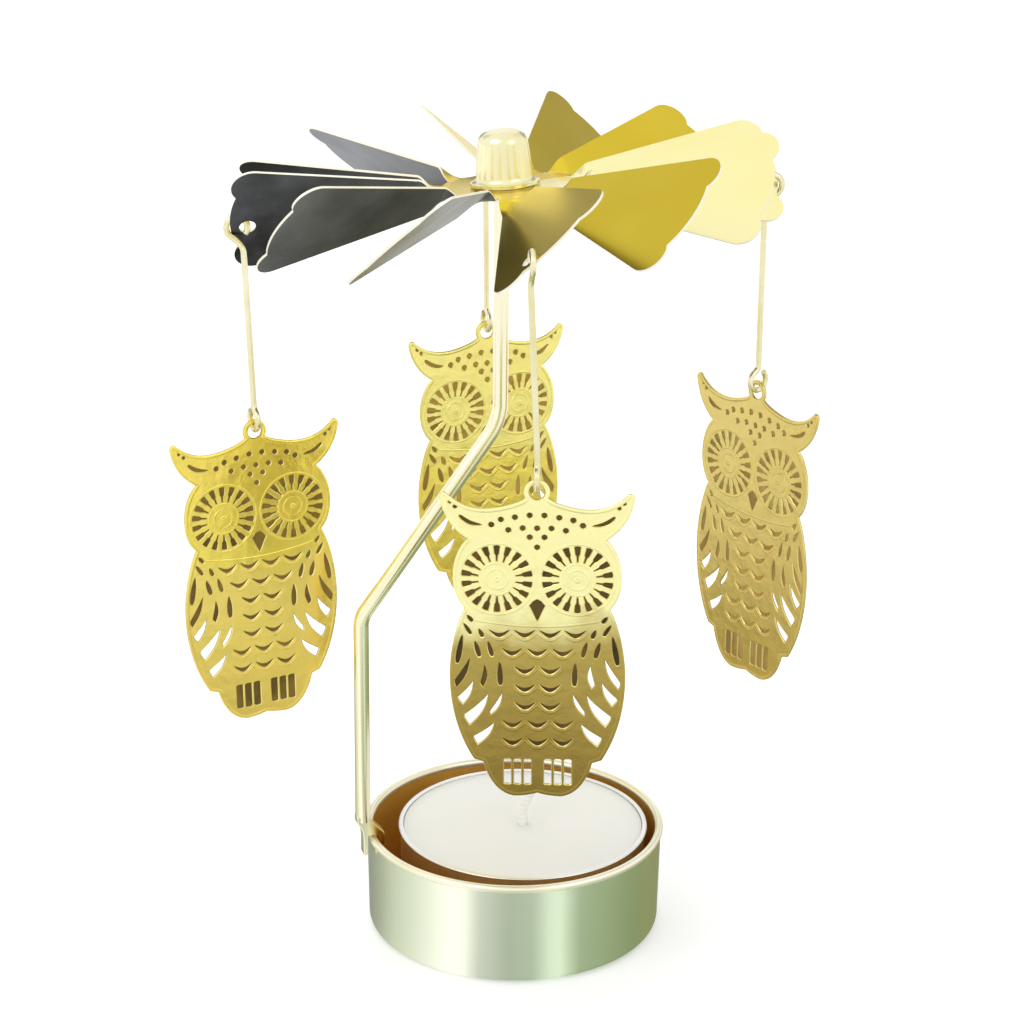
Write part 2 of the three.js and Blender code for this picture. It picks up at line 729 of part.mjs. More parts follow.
function toeHoles(side) {
  const holes = [];
  const top = -wingDrop;
  for (let i = 0; i < toeCount; i += 1) {
    const x = side * (toeCentre + (i - (toeCount - 1) / 2) * toePitch);
    holes.push([
      at(x - toeSlot / 2, top),
      at(x - toeSlot / 2, top - toeLength),
      at(x + toeSlot / 2, top - toeLength),
      at(x + toeSlot / 2, top),
    ]);
  }
  return holes;
}

function wingHoles(side) {
  const across = (share) => side * share * bodyHalf;
  const down = (share) => -waistDrop - share * (wingDrop - waistDrop);
  return wingSlots.map(({ from, to, width }) => {
    return slot(across(from[0]), down(from[1]), across(to[0]), down(to[1]), width);
  });
}

// Breast slots in rows, each one a small sagging crescent
function breastHoles() {
  const holes = [];
  const rowPitch = (wingDrop - waistDrop) / (breastCounts.length + 1.3);
  breastCounts.forEach((count, row) => {
    const y = -waistDrop - (row + 1.35) * rowPitch;
    for (let i = 0; i < count; i += 1) {
      const x = (i - (count - 1) / 2) * breastPitch;
      holes.push([
        at(x - breastHalf, y),
        at(x, y - breastSag),
        at(x + breastHalf, y),
        at(x, y - breastSag + breastSlot),
      ]);
    }
  });
  return holes;
}

function owlHoles() {
  const beakTop = eyeDrop + beakLength;
  const beak = [
    at(0, -beakTop),
    at(-beakHalf, -beakTop - beakShoulder),
    at(0, -beakTop - beakLength),
    at(beakHalf, -beakTop - beakShoulder),
  ];
  const holes = [circle(0, 0, ringHole, 10), beak, ...breastHoles()];
  for (const side of [-1, 1]) {
    holes.push(...eyeHoles(side), ...toeHoles(side), ...wingHoles(side));
  }
  return holes;
}

// A flat plate of the given outline, centred on its own thickness
function plate(outline, thickness) {
  const shape = new THREE.Shape(outline);
  const geometry = new THREE.ExtrudeGeometry(shape, { depth: thickness, bevelEnabled: false });
  geometry.translate(0, 0, -thickness / 2);
  return geometry;
}

const rightHalf = owlHalf();
let owlSolid = toSolid(plate([...rightHalf, ...mirrored(rightHalf).slice(1, -1)], charmSheet));
for (const hole of owlHoles()) {
  owlSolid = owlSolid.subtract(toSolid(plate(hole, 2 * charmSheet)));
}
const owlGeometry = toGeometry(owlSolid);
owlGeometry.rotateX(Math.PI / 2);

// Each hanger hangs from its blade, and its charm hangs from the eye
group.updateMatrixWorld(true);
for (const hanger of hangers) {
  const hookX = holeX(hanger.side) + hookRadius;
  const hookPoint = bent(bendOf(hanger.blade), new THREE.Vector3(hookX, -hanger.side, 0));
  hookPoint.applyAxisAngle(new THREE.Vector3(0, 0, 1), hanger.blade * 2 * halfSector);
  sheetFrame.localToWorld(hookPoint);
  const azimuth = Math.atan2(hookPoint.y, hookPoint.x - spindleX);
  const hangFrame = new THREE.Group();
  hangFrame.position.copy(hookPoint);
  hangFrame.position.x -= legInset * Math.cos(azimuth);
  hangFrame.position.y -= legInset * Math.sin(azimuth);
  hangFrame.rotation.z = azimuth;
  group.add(hangFrame);
  place(hangFrame, `hanger_${hanger.place}`, hangerGeometry(hanger), finish(0xd8cf9a, 0.25, 1));
  const ring = new THREE.Group();
  ring.position.set(hanger.lean[0], hanger.lean[1], -hanger.drop);
  ring.rotation.z = hanger.facing * degree + Math.PI / 2;
  hangFrame.add(ring);
  const charm = place(ring, `owl_charm_${hanger.place}`, owlGeometry, finish(0xe3cf4a, 0.25, 1));
  charm.rotation.y = -hanger.tilt * degree;
}

export default group;
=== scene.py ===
"""Rotating tealight candle holder, dressed over its solids: a drawn cup with a tealight, a bent pole, a
twelve-blade rotor and four pierced owl charms on wire hangers. Metres, +Z up, like the solids."""
import bpy
import bmesh
from math import acos, asin, atan2, cos, degrees, hypot, pi, radians, sin, sqrt, tan
from mathutils import Matrix, Vector
from mathutils.geometry import interpolate_bezier, tessellate_polygon


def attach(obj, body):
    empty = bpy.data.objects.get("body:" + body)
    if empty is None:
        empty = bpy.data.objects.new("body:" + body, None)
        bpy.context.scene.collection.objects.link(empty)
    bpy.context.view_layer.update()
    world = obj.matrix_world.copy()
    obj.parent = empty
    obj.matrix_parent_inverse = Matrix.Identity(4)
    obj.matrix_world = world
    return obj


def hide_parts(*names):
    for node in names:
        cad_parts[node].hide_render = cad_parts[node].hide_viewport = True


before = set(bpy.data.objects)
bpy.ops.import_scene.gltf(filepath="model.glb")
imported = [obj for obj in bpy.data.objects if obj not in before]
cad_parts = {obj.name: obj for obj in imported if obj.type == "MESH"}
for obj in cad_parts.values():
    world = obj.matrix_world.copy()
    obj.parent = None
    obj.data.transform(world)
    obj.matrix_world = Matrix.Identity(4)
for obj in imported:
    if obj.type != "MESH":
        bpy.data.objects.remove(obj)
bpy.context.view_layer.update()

MM = 0.001

# Sizes shared with the solids, in millimetres and degrees
CLEARANCE = 0.3
CUP_RADIUS, CUP_HEIGHT, CUP_WALL, CUP_CORNER, CUP_DRAFT, RIM_BEAD = 23, 16.4, 0.6, 1.5, 0.25, 1.2
TEALIGHT_SHIFT, TEALIGHT_PLAY, TEALIGHT_DROP = 1.4, 2.6, 0.7
FOIL_WALL, FOIL_LIP, FOIL_CORNER, WAX_DROP = 0.35, 0.4, 1.2, 0.5
WICK_RADIUS, WICK_STAND, WICK_LEAN = 0.75, 5.4, 1.3
POLE_RADIUS, POLE_STAND_OFF = 1.15, 0.9
LOWER_KNEE, UPPER_KNEE, LOWER_BEND, UPPER_BEND = 52.3, 81.6, 4, 9
SPINDLE_OFFSET, NEEDLE_TIP, NEEDLE_SHOW = 2.75, 123.3, 3.4
TINE, TINE_WIDTH, OUTER_TINE, INNER_TINE, FORK_RISE, FORK_GRIP = 0.75, 2, 3, 1.5, 3.6, 1
HUB_RADIUS, HUB_TAPER, HUB_WALL, HUB_HEIGHT, HUB_CROWN, HUB_FLARE = 4.1, 0.45, 0.5, 8.1, 1.9, 0.9
HUB_LIP, FLANGE_EDGE, BEARING_DEPTH, DIMPLE_DEPTH = 1, 0.35, 2, 1.6
BLADES, SHEET, BLADE_REACH, CORNER_LOBE, CORNER_DIP, NOTCH_INSET = 12, 0.4, 39.5, 2.85, 0.4, 1.76
DISC_RADIUS, NECK_LENGTH, SLIT, BLADE_TWIST = 9.6, 3, 0.5, 41
ROTOR_PHASE, ROTOR_LEAN, LEAN_AZIMUTH = -6.2, 5.3, 127.5
WIRE_RADIUS, HANGER_HOLE, HANGER_EDGE = 0.45, 1.2, 2.4
HOOK_RADIUS, HOOK_START, HOOK_END, HOOK_LEAD = 1.5, -48, 218, 3.7
EYE_RADIUS, EYE_START, EYE_END, EYE_LEAD, LEG_INSET, LEAD_PULL = 1.5, 60, -228, 2.8, 0.9, 1.2
CHARM_SHEET, RING_RADIUS, RING_HOLE = 0.55, 1.8, 1.05
# Blades bent by hand, in degrees: extra twist, droop and swing to the high side
BENT_BLADES = {
    0: (-2, 2.2, 0), 1: (-1, 1.4, 0), 2: (6, -1, 0), 3: (2, -0.5, 0), 5: (-1, 2.6, 0), 6: (12, 2.9, 0),
    7: (2, 0, -1.8), 8: (-4, 0.3, -1.8), 9: (-2, 2.2, 0),
}
# Blades whose tops take a painted highlight, a paler gold
HIGHLIGHT_PAINTED_BLADES = (0, 11)
# Blade, hole's distance from its centre line, drop, lean outward and along, facing and tilt
HANGERS = {
    "front": (9, 3.4, 32.2, (-0.5, 1.2), -9, 0.8),
    "right": (0, 2.9, 31.5, (0.2, 0.9), -147, 0),
    "back": (3, 3.6, 28.2, (0.7, -0.3), -162, 1.2),
    "left": (6, 1.2, 30.8, (-1, -1.2), 108, 1.3),
}

# Sides of the turned and drawn forms
CUP_SIDES, FOIL_SIDES, WAX_SIDES, HUB_SIDES = 192, 160, 128, 96
POLE_SIDES, WICK_SIDES, WIRE_SIDES = 40, 20, 16
WELD = 1e-7  # metres within which points of a mesh are joined


# Mesh helpers
def linked(name, data):
    obj = bpy.data.objects.new(name, data)
    bpy.context.scene.collection.objects.link(obj)
    return obj


def piece(name, body, node, geometry, materials, matrix=None, sharp=35):
    """A piece in the place of a solid, from points in millimetres, faces and the faces' slots, if given.
    Edges flatter than sharp, in degrees, are smoothed."""
    points, faces, *slots = geometry
    mesh = bpy.data.meshes.new(name)
    mesh.from_pydata([Vector(p) * MM for p in points], [], faces)
    for material in materials:
        mesh.materials.append(material)
    if slots:
        mesh.polygons.foreach_set("material_index", slots[0])
    if matrix:
        mesh.transform(matrix)
    bm = bmesh.new()
    bm.from_mesh(mesh)
    bmesh.ops.remove_doubles(bm, verts=bm.verts, dist=WELD)
    bmesh.ops.recalc_face_normals(bm, faces=bm.faces)
    for face in bm.faces:
        face.smooth = True
    for edge in bm.edges:
        if len(edge.link_faces) == 2:
            edge.smooth = edge.calc_face_angle(0) < radians(sharp)
    bm.to_mesh(mesh)
    bm.free()
    obj = linked(name, mesh)
    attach(obj, body)
    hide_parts(node)
    return obj


def arc(x, y, radius, start, end, steps):
    angles = [radians(start + (end - start) * i / steps) for i in range(steps + 1)]
    return [(x + radius * cos(a), y + radius * sin(a)) for a in angles]


def circle(x, y, radius, steps):
    return arc(x, y, radius, 0, 360, steps)[:-1]


def bezier(a, b, c, d, steps):
    """Points of the curve after its first."""
    points = interpolate_bezier(*(Vector((*q, 0)) for q in (a, b, c, d)), steps + 1)
    return [tuple(p.xy) for p in points[1:]]


def quadratic(a, b, c, steps):
    """Points of the curve after its first."""
    return [((1 - t) ** 2 * a[0] + 2 * t * (1 - t) * b[0] + t * t * c[0],
             (1 - t) ** 2 * a[1] + 2 * t * (1 - t) * b[1] + t * t * c[1])
            for t in (i / steps for i in range(1, steps + 1))]


def lathe(profile, sides, slot_of=lambda step: 0):
    """Points, faces and slots of a closed profile of (radius, height) turned about Z."""
    points, rings = [], []
    for r, z in profile:
        if r < 1e-6:
            rings.append([len(points)] * sides)
            points.append((0, 0, z))
        else:
            rings.append(range(len(points), len(points) + sides))
            points += [(r * cos(2 * pi * i / sides), r * sin(2 * pi * i / sides), z) for i in range(sides)]
    faces, slots = [], []
    for k in range(len(rings) - 1):
        a, b = rings[k], rings[k + 1]
        for i in range(sides):
            j = (i + 1) % sides
            face = list(dict.fromkeys((a[i], a[j], b[j], b[i])))
            if len(face) > 2:
                faces.append(face)
                slots.append(slot_of(k))
    return points, faces, slots


def tube(stations, radius, sides):
    """A round wire with flat ends along stations, with the section carried along without twist."""
    stations = [Vector(s) for s in stations]
    count = len(stations)
    tangents = []
    for i in range(count):
        back = stations[i] - stations[max(i - 1, 0)]
        ahead = stations[min(i + 1, count - 1)] - stations[i]
        tangents.append((back.normalized() + ahead.normalized()).normalized())
    side = tangents[0].orthogonal().normalized()
    points, faces = [], []
    for i in range(count):
        if i:
            side = tangents[i - 1].rotation_difference(tangents[i]) @ side
        up = tangents[i].cross(side)
        reach = radius(i / (count - 1)) if callable(radius) else radius
        for k in range(sides):
            angle = 2 * pi * k / sides
            points.append(stations[i] + (side * cos(angle) + up * sin(angle)) * reach)
    for i in range(count - 1):
        for k in range(sides):
            m = (k + 1) % sides
            faces.append((i * sides + k, i * sides + m, (i + 1) * sides + m, (i + 1) * sides + k))
    faces.append(tuple(reversed(range(sides))))
    faces.append(tuple(range((count - 1) * sides, count * sides)))
    return points, faces


# Material helpers
def srgb(r, g, b):
    """Linear colour of one written as 0 to 255."""
    def linear(c):
        c /= 255
        return c / 12.92 if c <= 0.04045 else ((c + 0.055) / 1.055) ** 2.4
    return (linear(r), linear(g), linear(b), 1)


class Tree:
    """Short calls to wire a node tree."""

    def __init__(self, tree):
        self.tree = tree

    def add(self, kind, **values):
        node = self.tree.nodes.new("ShaderNode" + kind)
        for key, value in values.items():
            if hasattr(node, key):
                setattr(node, key, value)
            else:
                node.inputs[key.replace("_", " ")].default_value = value
        return node

    def link(self, source, target):
        self.tree.links.new(source, target)

    def range(self, fac, low, high, start=0, end=1):
        """Takes start to low and end to high."""
        node = self.add("MapRange", From_Min=start, From_Max=end, To_Min=low, To_Max=high)
        self.link(fac, node.inputs["Value"])
        return node.outputs["Result"]

    def surface(self, shader):
        self.link(shader.outputs[0], self.add("OutputMaterial").inputs["Surface"])


class Nodes(Tree):
    """A material with a Principled shader."""

    def __init__(self, name, **inputs):
        self.material = bpy.data.materials.new(name)
        self.material.use_nodes = True
        super().__init__(self.material.node_tree)
        self.shader = self.tree.nodes["Principled BSDF"]
        for key, value in inputs.items():
            self.shader.inputs[key.replace("_", " ")].default_value = value

    def coords(self, scale=(1, 1, 1)):
        mapping = self.add("Mapping", Scale=scale)
        self.link(self.add("TexCoord").outputs["Object"], mapping.inputs["Vector"])
        return mapping.outputs["Vector"]

    def along(self, axis, start, end):
        """0 to 1 between two places on an axis."""
        place = self.add("SeparateXYZ")
        self.link(self.coords(), place.inputs[0])
        return self.range(place.outputs[axis], 0, 1, start, end)

    def noise(self, scale, detail=3, stretch=(1, 1, 1)):
        node = self.add("TexNoise", Scale=scale, Detail=detail)
        self.link(self.coords(stretch), node.inputs["Vector"])
        return node.outputs["Fac"]

    def color_ramp(self, fac, *stops):
        """Base colour from two or more places on a ramp, each with its colour."""
        node = self.add("ValToRGB")
        elements = node.color_ramp.elements
        while len(elements) < len(stops):
            elements.new(0.5)
        for element, (position, color) in zip(elements, stops):
            element.position = position
            element.color = srgb(*color)
        self.link(fac, node.inputs["Fac"])
        self.link(node.outputs["Color"], self.shader.inputs["Base Color"])

    def roughness(self, fac, low, high):
        self.link(self.range(fac, low, high), self.shader.inputs["Roughness"])

    def bump(self, height, distance):
        node = self.add("Bump", Strength=1.0, Distance=distance)
        self.link(height, node.inputs["Height"])
        self.link(node.outputs["Normal"], self.shader.inputs["Normal"])


def plated(name, light, dark, rough, patch, wave=0.00006, stretch=(1, 1, 1), **inputs):
    """Plated sheet: cloudy colour, uneven gloss and a slight waviness."""
    n = Nodes(name, **{"Metallic": 1.0, **inputs})
    n.color_ramp(n.noise(patch, 4, stretch), (0.32, dark), (0.68, light))
    n.roughness(n.noise(patch * 3, 3, stretch), *rough)
    n.bump(n.noise(patch * 1.5, 2, stretch), wave)
    return n.material


def painted_light_charm_plate(name, ring_height, head, body, feet):
    """Plating of one charm with painted light: its tone changes from the feet, darker in painted shade, to
    the head, paler with a painted reflection, with fine scuffs.
    """
    n = Nodes(name, Metallic=1.0, Coat_Weight=0.4, Coat_Roughness=0.12)
    cloud_and_painted_light = n.add("Math", operation="MULTIPLY_ADD")
    cloud_and_painted_light.inputs[1].default_value = 0.24
    n.link(n.noise(110, 4), cloud_and_painted_light.inputs[0])
    # Height within the charm, mixed with the noise: painted light, pale at the head and dark at the feet
    n.link(n.along("Z", (ring_height - FOOT_DROP) * MM, ring_height * MM), cloud_and_painted_light.inputs[2])
    n.color_ramp(cloud_and_painted_light.outputs[0], (0.15, feet), (0.62, body), (0.72, head))
    n.roughness(n.noise(220), 0.22, 0.36)
    n.bump(n.noise(420), 0.00015)
    return n.material


def fork_plate():
    """The pole's plating, deeper gold toward the tine inside the rim."""
    n = Nodes("fork_plate", Metallic=1.0)
    depth = n.along("X", -(CUP_RADIUS + 0.6) * MM, -(CUP_RADIUS - 1.2) * MM)
    n.color_ramp(depth, (0.2, (250, 246, 212)), (0.8, (214, 182, 92)))
    n.roughness(n.noise(270), 0.2, 0.3)
    n.bump(n.noise(130, 2), 0.00006)
    return n.material


def satin_plate():
    """Satin sheet brushed round the cup, so that lights draw out into upright streaks."""
    n = Nodes("cup_satin", Metallic=1.0, Anisotropic=0.8, Anisotropic_Rotation=0.25)
    tangent = n.add("Tangent", direction_type="RADIAL", axis="Z")
    n.link(tangent.outputs[0], n.shader.inputs["Tangent"])
    n.color_ramp(n.noise(30, 4, (1, 1, 0.3)), (0.3, (236, 245, 218)), (0.7, (248, 252, 236)))
    n.roughness(n.noise(90, 3, (1, 1, 6)), 0.19, 0.25)
    n.bump(n.noise(500, 2, (0.15, 0.15, 3)), 0.000006)
    return n.material


def wax_material():
    n = Nodes("wax", Roughness=0.42, Subsurface_Weight=0.25, Subsurface_Radius=(0.004, 0.0035, 0.003),
              Subsurface_Scale=1.0)
    n.color_ramp(n.noise(45, 4), (0.3, (251, 251, 240)), (0.7, (255, 254, 247)))
    n.bump(n.noise(160), 0.00008)
    return n.material


def wick_material():
    n = Nodes("wick_cotton", Roughness=0.85)
    wave = n.add("TexWave", bands_direction="Z", Scale=420, Distortion=2)
    n.link(n.coords(), wave.inputs["Vector"])
    n.color_ramp(wave.outputs["Fac"], (0.1, (250, 248, 240)), (0.8, (255, 254, 250)))
    n.bump(wave.outputs["Fac"], 0.00004)
    return n.material


# Finishes: light and dark tone, roughness, size of the cloudy patches
GOLD = plated("gold_plate", (236, 210, 66), (220, 190, 44), (0.2, 0.3), 30, 0.00005)
# Paler gold of two blades' tops: a painted highlight
GOLD_PAINTED_HIGHLIGHT = plated("plate_painted_highlight", (255, 247, 184), (252, 242, 164), (0.2, 0.3), 30, 0.00005,
                   Coat_Weight=1.0, Coat_Roughness=0.15)
# Dark grey of the blades' undersides: painted shade, for the dark that they mirror
PAINTED_SHADE_UNDERSIDE = plated("underside_painted_shade", (132, 134, 142), (32, 32, 31), (0.22, 0.36), 45, 0.0001)
# Pale cream of the cut edges: a painted highlight
PAINTED_HIGHLIGHT_EDGE = plated("painted_highlight_edge", (255, 253, 240), (246, 240, 214), (0.3, 0.4), 90, Metallic=0.2)
HUB_GOLD = plated("hub_plate", (253, 250, 216), (238, 228, 166), (0.18, 0.24), 60)
POLE_GOLD = plated("pole_plate", (255, 253, 232), (250, 244, 200), (0.16, 0.24), 60, stretch=(1, 1, 0.15))
FORK_GOLD = fork_plate()
WIRE_GOLD = plated("wire_plate", (250, 246, 214), (230, 220, 164), (0.2, 0.3), 120)
# Paler gold of the charms' bevels: a painted highlight on their edges
PAINTED_HIGHLIGHT_BEVEL = plated("charm_bevel_painted_highlight", (252, 238, 160), (206, 184, 94), (0.26, 0.36), 120, Metallic=0.9)
CUP_SATIN = satin_plate()
CUP_RIM = plated("cup_rim", (255, 253, 234), (250, 244, 208), (0.24, 0.34), 60, Metallic=0.6)
CUP_INSIDE = plated("cup_inside", (250, 198, 92), (226, 160, 52), (0.28, 0.4), 40, Metallic=0.4)
FOIL = plated("foil", (252, 252, 250), (240, 240, 236), (0.25, 0.4), 80)
STEEL = plated("steel", (196, 198, 202), (160, 163, 168), (0.2, 0.3), 120)
WAX = wax_material()
WICK = wick_material()

# Base cup
wall_radius = CUP_RADIUS - (RIM_BEAD - CUP_WALL) / 2
floor_radius = wall_radius - CUP_DRAFT
bead_turn = degrees(acos(CUP_WALL / RIM_BEAD))
bead_radius = RIM_BEAD / 2
corner_x = floor_radius - CUP_CORNER
corner_steps, bead_steps = 8, 20
profile = [(0, 0)] + arc(corner_x, CUP_CORNER, CUP_CORNER, -90, 0, corner_steps)
bead_from = len(profile)
profile += arc(wall_radius - CUP_WALL / 2, CUP_HEIGHT - bead_radius, bead_radius, -bead_turn,
               180 + bead_turn, bead_steps)
bead_to = len(profile) - 1
profile += arc(corner_x, CUP_CORNER, CUP_CORNER - CUP_WALL, 0, -90, corner_steps) + [(0, CUP_WALL)]
# Slots of the outside, the rolled rim and the inside
cup_mesh = lathe(profile, CUP_SIDES, lambda step: (step >= bead_from) + (step >= bead_to))
piece("cup", "stand", "base_cup", cup_mesh, [CUP_SATIN, CUP_RIM, CUP_INSIDE])

# Tealight's foil cup
shift = Matrix.Translation((TEALIGHT_SHIFT * MM, 0, 0))
foil_radius = floor_radius - CUP_WALL - TEALIGHT_PLAY - FOIL_LIP
foil_corner = foil_radius - FOIL_CORNER
foil_base = CUP_WALL + CLEARANCE
foil_top = CUP_HEIGHT - TEALIGHT_DROP
lip = FOIL_LIP / 2
corner_steps, lip_steps = 6, 8
profile = [(0, foil_base)]
profile += arc(foil_corner, foil_base + FOIL_CORNER, FOIL_CORNER, -90, 0, corner_steps)
profile += [(foil_radius, foil_top - 2 * lip)]
profile += arc(foil_radius + lip, foil_top - lip, lip, -45, 90, lip_steps)
profile += [(foil_radius - FOIL_WALL, foil_top)]
profile += arc(foil_corner, foil_base + FOIL_CORNER, FOIL_CORNER - FOIL_WALL, 0, -90, corner_steps)
profile += [(0, foil_base + FOIL_WALL)]
piece("foil_cup", "candle", "tealight_cup", lathe(profile, FOIL_SIDES), [FOIL], shift)

# Wax
WAX_GAP, WICK_GAP, WAX_CHAMFER = 0.1, 0.05, 0.55
wax_radius = foil_radius - FOIL_WALL - WAX_GAP
wax_top = foil_top - WAX_DROP
wax_base = foil_base + FOIL_WALL + CLEARANCE
wick_room = WICK_RADIUS + WICK_GAP
# Its melted top, as radius and height: a raised edge, a shallow pool and a small rise at the wick
wax_melt = ((wax_radius, 0.25), (wax_radius - 0.3, 0.12), (wax_radius - 1.2, 0), (wax_radius * 0.6, -0.08),
            (4.5, -0.22), (2.2, -0.2), (1.2, 0.02), (wick_room, 0.15))
foot = wax_base + WAX_CHAMFER
profile = [(wick_room, wax_base), (wax_radius - WAX_CHAMFER, wax_base), (wax_radius, foot)]
profile += [(radius, wax_top + rise) for radius, rise in wax_melt] + [(wick_room, wax_base)]
piece("wax", "candle", "tealight_wax", lathe(profile, WAX_SIDES), [WAX], shift)

# Wick, which leans more toward its tip
WICK_STEPS, WICK_TIP = 12, 0.97
wick_bend = wax_top + WICK_STAND / 3
path = [(0, 0, wax_base), (0, 0, wax_top - 1), (0, 0, wax_top)]
for i in range(WICK_STEPS + 1):
    rise = i / WICK_STEPS
    path.append((WICK_LEAN * rise * rise, 0, wick_bend + (WICK_STAND * 2 / 3) * rise))
wick_tube = tube(path, lambda share: WICK_RADIUS * (0.96 if share < WICK_TIP else 0.7), WICK_SIDES)
piece("braided_wick", "candle", "wick", wick_tube, [WICK], shift)


# Pole
def bend(before, corner, after, radius, steps):
    """Points of the round bend at a corner between two straight runs."""
    before, corner, after = Vector(before), Vector(corner), Vector(after)
    inward = (before - corner).normalized()
    outward = (after - corner).normalized()
    half = inward.angle(outward) / 2
    centre = corner + (inward + outward).normalized() * (radius / sin(half))
    start = corner + inward * (radius / tan(half)) - centre
    end = corner + outward * (radius / tan(half)) - centre
    return [centre + start.lerp(end, i / steps).normalized() * radius for i in range(steps + 1)]


foot_x = -(CUP_RADIUS + POLE_STAND_OFF)
spindle_x = -SPINDLE_OFFSET
foot = (foot_x, 0, CUP_HEIGHT + FORK_RISE - FORK_GRIP)
knee_low = (foot_x, 0, LOWER_KNEE)
knee_high = (spindle_x, 0, UPPER_KNEE)
head = (spindle_x, 0, NEEDLE_TIP - NEEDLE_SHOW)
lower_steps, upper_steps = 14, 22
path = [foot] + bend(foot, knee_low, knee_high, LOWER_BEND, lower_steps)
path += bend(knee_low, knee_high, head, UPPER_BEND, upper_steps) + [head]
piece("pole_tube", "stand", "pole", tube(path, POLE_RADIUS, POLE_SIDES), [POLE_GOLD])

# Fork at the pole's foot, whose tines grip the rim
OUTER_ROUND, INNER_ROUND, FORK_ROUNDING = 0.3, 0.2, 0.22
outer_face, inner_face = CUP_RADIUS + CLEARANCE, CUP_RADIUS - RIM_BEAD - CLEARANCE
outer_back, inner_back = outer_face + TINE, inner_face - TINE
outer_tip, inner_tip = CUP_HEIGHT - OUTER_TINE, CUP_HEIGHT - INNER_TINE
fork_top = CUP_HEIGHT + FORK_RISE
grip = fork_top - FORK_GRIP
saddle = CUP_HEIGHT + CLEARANCE
clamp_in, clamp_out = -foot_x - POLE_RADIUS * 0.95, -foot_x + POLE_RADIUS * 0.95
outline = [
    (outer_face, outer_tip + OUTER_ROUND),
    *((outer_face + TINE * (1 - cos(a)) / 2, outer_tip + OUTER_ROUND * (1 - sin(a)))
      for a in (0.6, pi / 2, 2.5)),
    (outer_back, outer_tip + OUTER_ROUND), (outer_back, saddle - 0.4), (outer_back + 0.15, saddle + 0.8),
    (clamp_out, grip), (clamp_out, fork_top), (clamp_in, fork_top), (clamp_in, grip),
    (inner_back + 0.1, saddle + 0.5), (inner_back, saddle), (inner_back, inner_tip + INNER_ROUND),
    (inner_face - TINE / 2, inner_tip), (inner_face, inner_tip + INNER_ROUND), (inner_face, saddle),
    (outer_face, saddle),
]
count = len(outline)
points = [(-x, side * TINE_WIDTH / 2, z) for side in (-1, 1) for x, z in outline]
faces = [tuple(range(count)), tuple(range(2 * count - 1, count - 1, -1))]
faces += [(i, (i + 1) % count, (i + 1) % count + count, i + count) for i in range(count)]
fork = piece("pole_fork", "stand", "pole", (points, faces), [FORK_GOLD])
rounding = fork.modifiers.new("rounding", "BEVEL")
rounding.width = FORK_ROUNDING * MM
rounding.segments = 3
rounding.limit_method = "ANGLE"

# Frame of the leaning rotor
bearing_top = HUB_HEIGHT - HUB_WALL - CLEARANCE
rotor_drop = bearing_top - BEARING_DEPTH + DIMPLE_DEPTH - CLEARANCE
lean_axis = Vector((-sin(radians(LEAN_AZIMUTH)), cos(radians(LEAN_AZIMUTH)), 0))
sheet_frame = Matrix.Translation(Vector((spindle_x, 0, NEEDLE_TIP)) * MM)
sheet_frame @= Matrix.Rotation(radians(ROTOR_LEAN), 4, lean_axis)
sheet_frame @= Matrix.Translation((0, 0, -rotor_drop * MM))
sheet_frame @= Matrix.Rotation(radians(ROTOR_PHASE), 4, "Z")

# Rotor: twelve twisted blades round a flat disc, in one sheet
half_sector = pi / BLADES
lobe_x = BLADE_REACH - CORNER_DIP - CORNER_LOBE
lobe_y = lobe_x * tan(half_sector) - CORNER_LOBE / cos(half_sector)
notch_y = lobe_y - NOTCH_INSET
notch_x = lobe_x + sqrt(CORNER_LOBE ** 2 - NOTCH_INSET ** 2)
crest = BLADE_REACH - notch_x
middle_radius = (notch_y ** 2 + crest ** 2) / (2 * crest)
middle_sweep = degrees(asin(notch_y / middle_radius))
notch_angle = degrees(asin(NOTCH_INSET / CORNER_LOBE))
side_angle = 90 + degrees(half_sector)
hole_sides = {blade: side for blade, side, *_ in HANGERS.values()}

# Its mesh: columns across a blade, rings of the disc, rows along the neck and where they start
COLUMNS, DISC_RINGS, RING_INSET, NECK_ROWS, NECK_START = 8, (6.5, 8.3), 0.4, 15, 0.15
LOBE_STEPS, HOLE_STEPS, SHEET_SINK = 22, 32, 0.02
# Slots of the rotor sheet: tops, undersides in painted shade, cut edges with a painted highlight, and tops
# with a painted highlight
TOP, UNDERSIDE, EDGE, TOP_PAINTED_HIGHLIGHT = range(4)


def neck_half(x):
    return x * tan(half_sector) - SLIT / 2


def hole_x(side):
    return BLADE_REACH - middle_radius + sqrt(middle_radius ** 2 - side ** 2) - HANGER_EDGE


def bent(blade, x, y, z):
    """A point of the flat blade, which lies along +X, after its twist, droop and swing."""
    twist, droop, swing = BENT_BLADES.get(blade, (0, 0, 0))
    t = min(max((x - DISC_RADIUS) / NECK_LENGTH, 0), 1)
    angle = radians(BLADE_TWIST + twist) * t * t * (3 - 2 * t)
    past = max(x - DISC_RADIUS, 0)
    return (x, y * cos(angle) - z * sin(angle) + past * tan(radians(swing)),
            y * sin(angle) + z * cos(angle) - past * tan(radians(droop)))


def sector_rows():
    """Rows of flat points across a blade's sector, from the hub's hole to the end of the neck."""
    shares = [2 * c / COLUMNS - 1 for c in range(COLUMNS + 1)]
    rows = []
    for radius in (HUB_RADIUS + CLEARANCE, *DISC_RINGS, DISC_RADIUS - RING_INSET):
        rows.append([(radius * cos(t * half_sector), radius * sin(t * half_sector)) for t in shares])
    for i in range(NECK_ROWS):
        x = DISC_RADIUS + NECK_START + (NECK_LENGTH - NECK_START) * i / (NECK_ROWS - 1)
        rows.append([(x, t * neck_half(x)) for t in shares])
    return rows


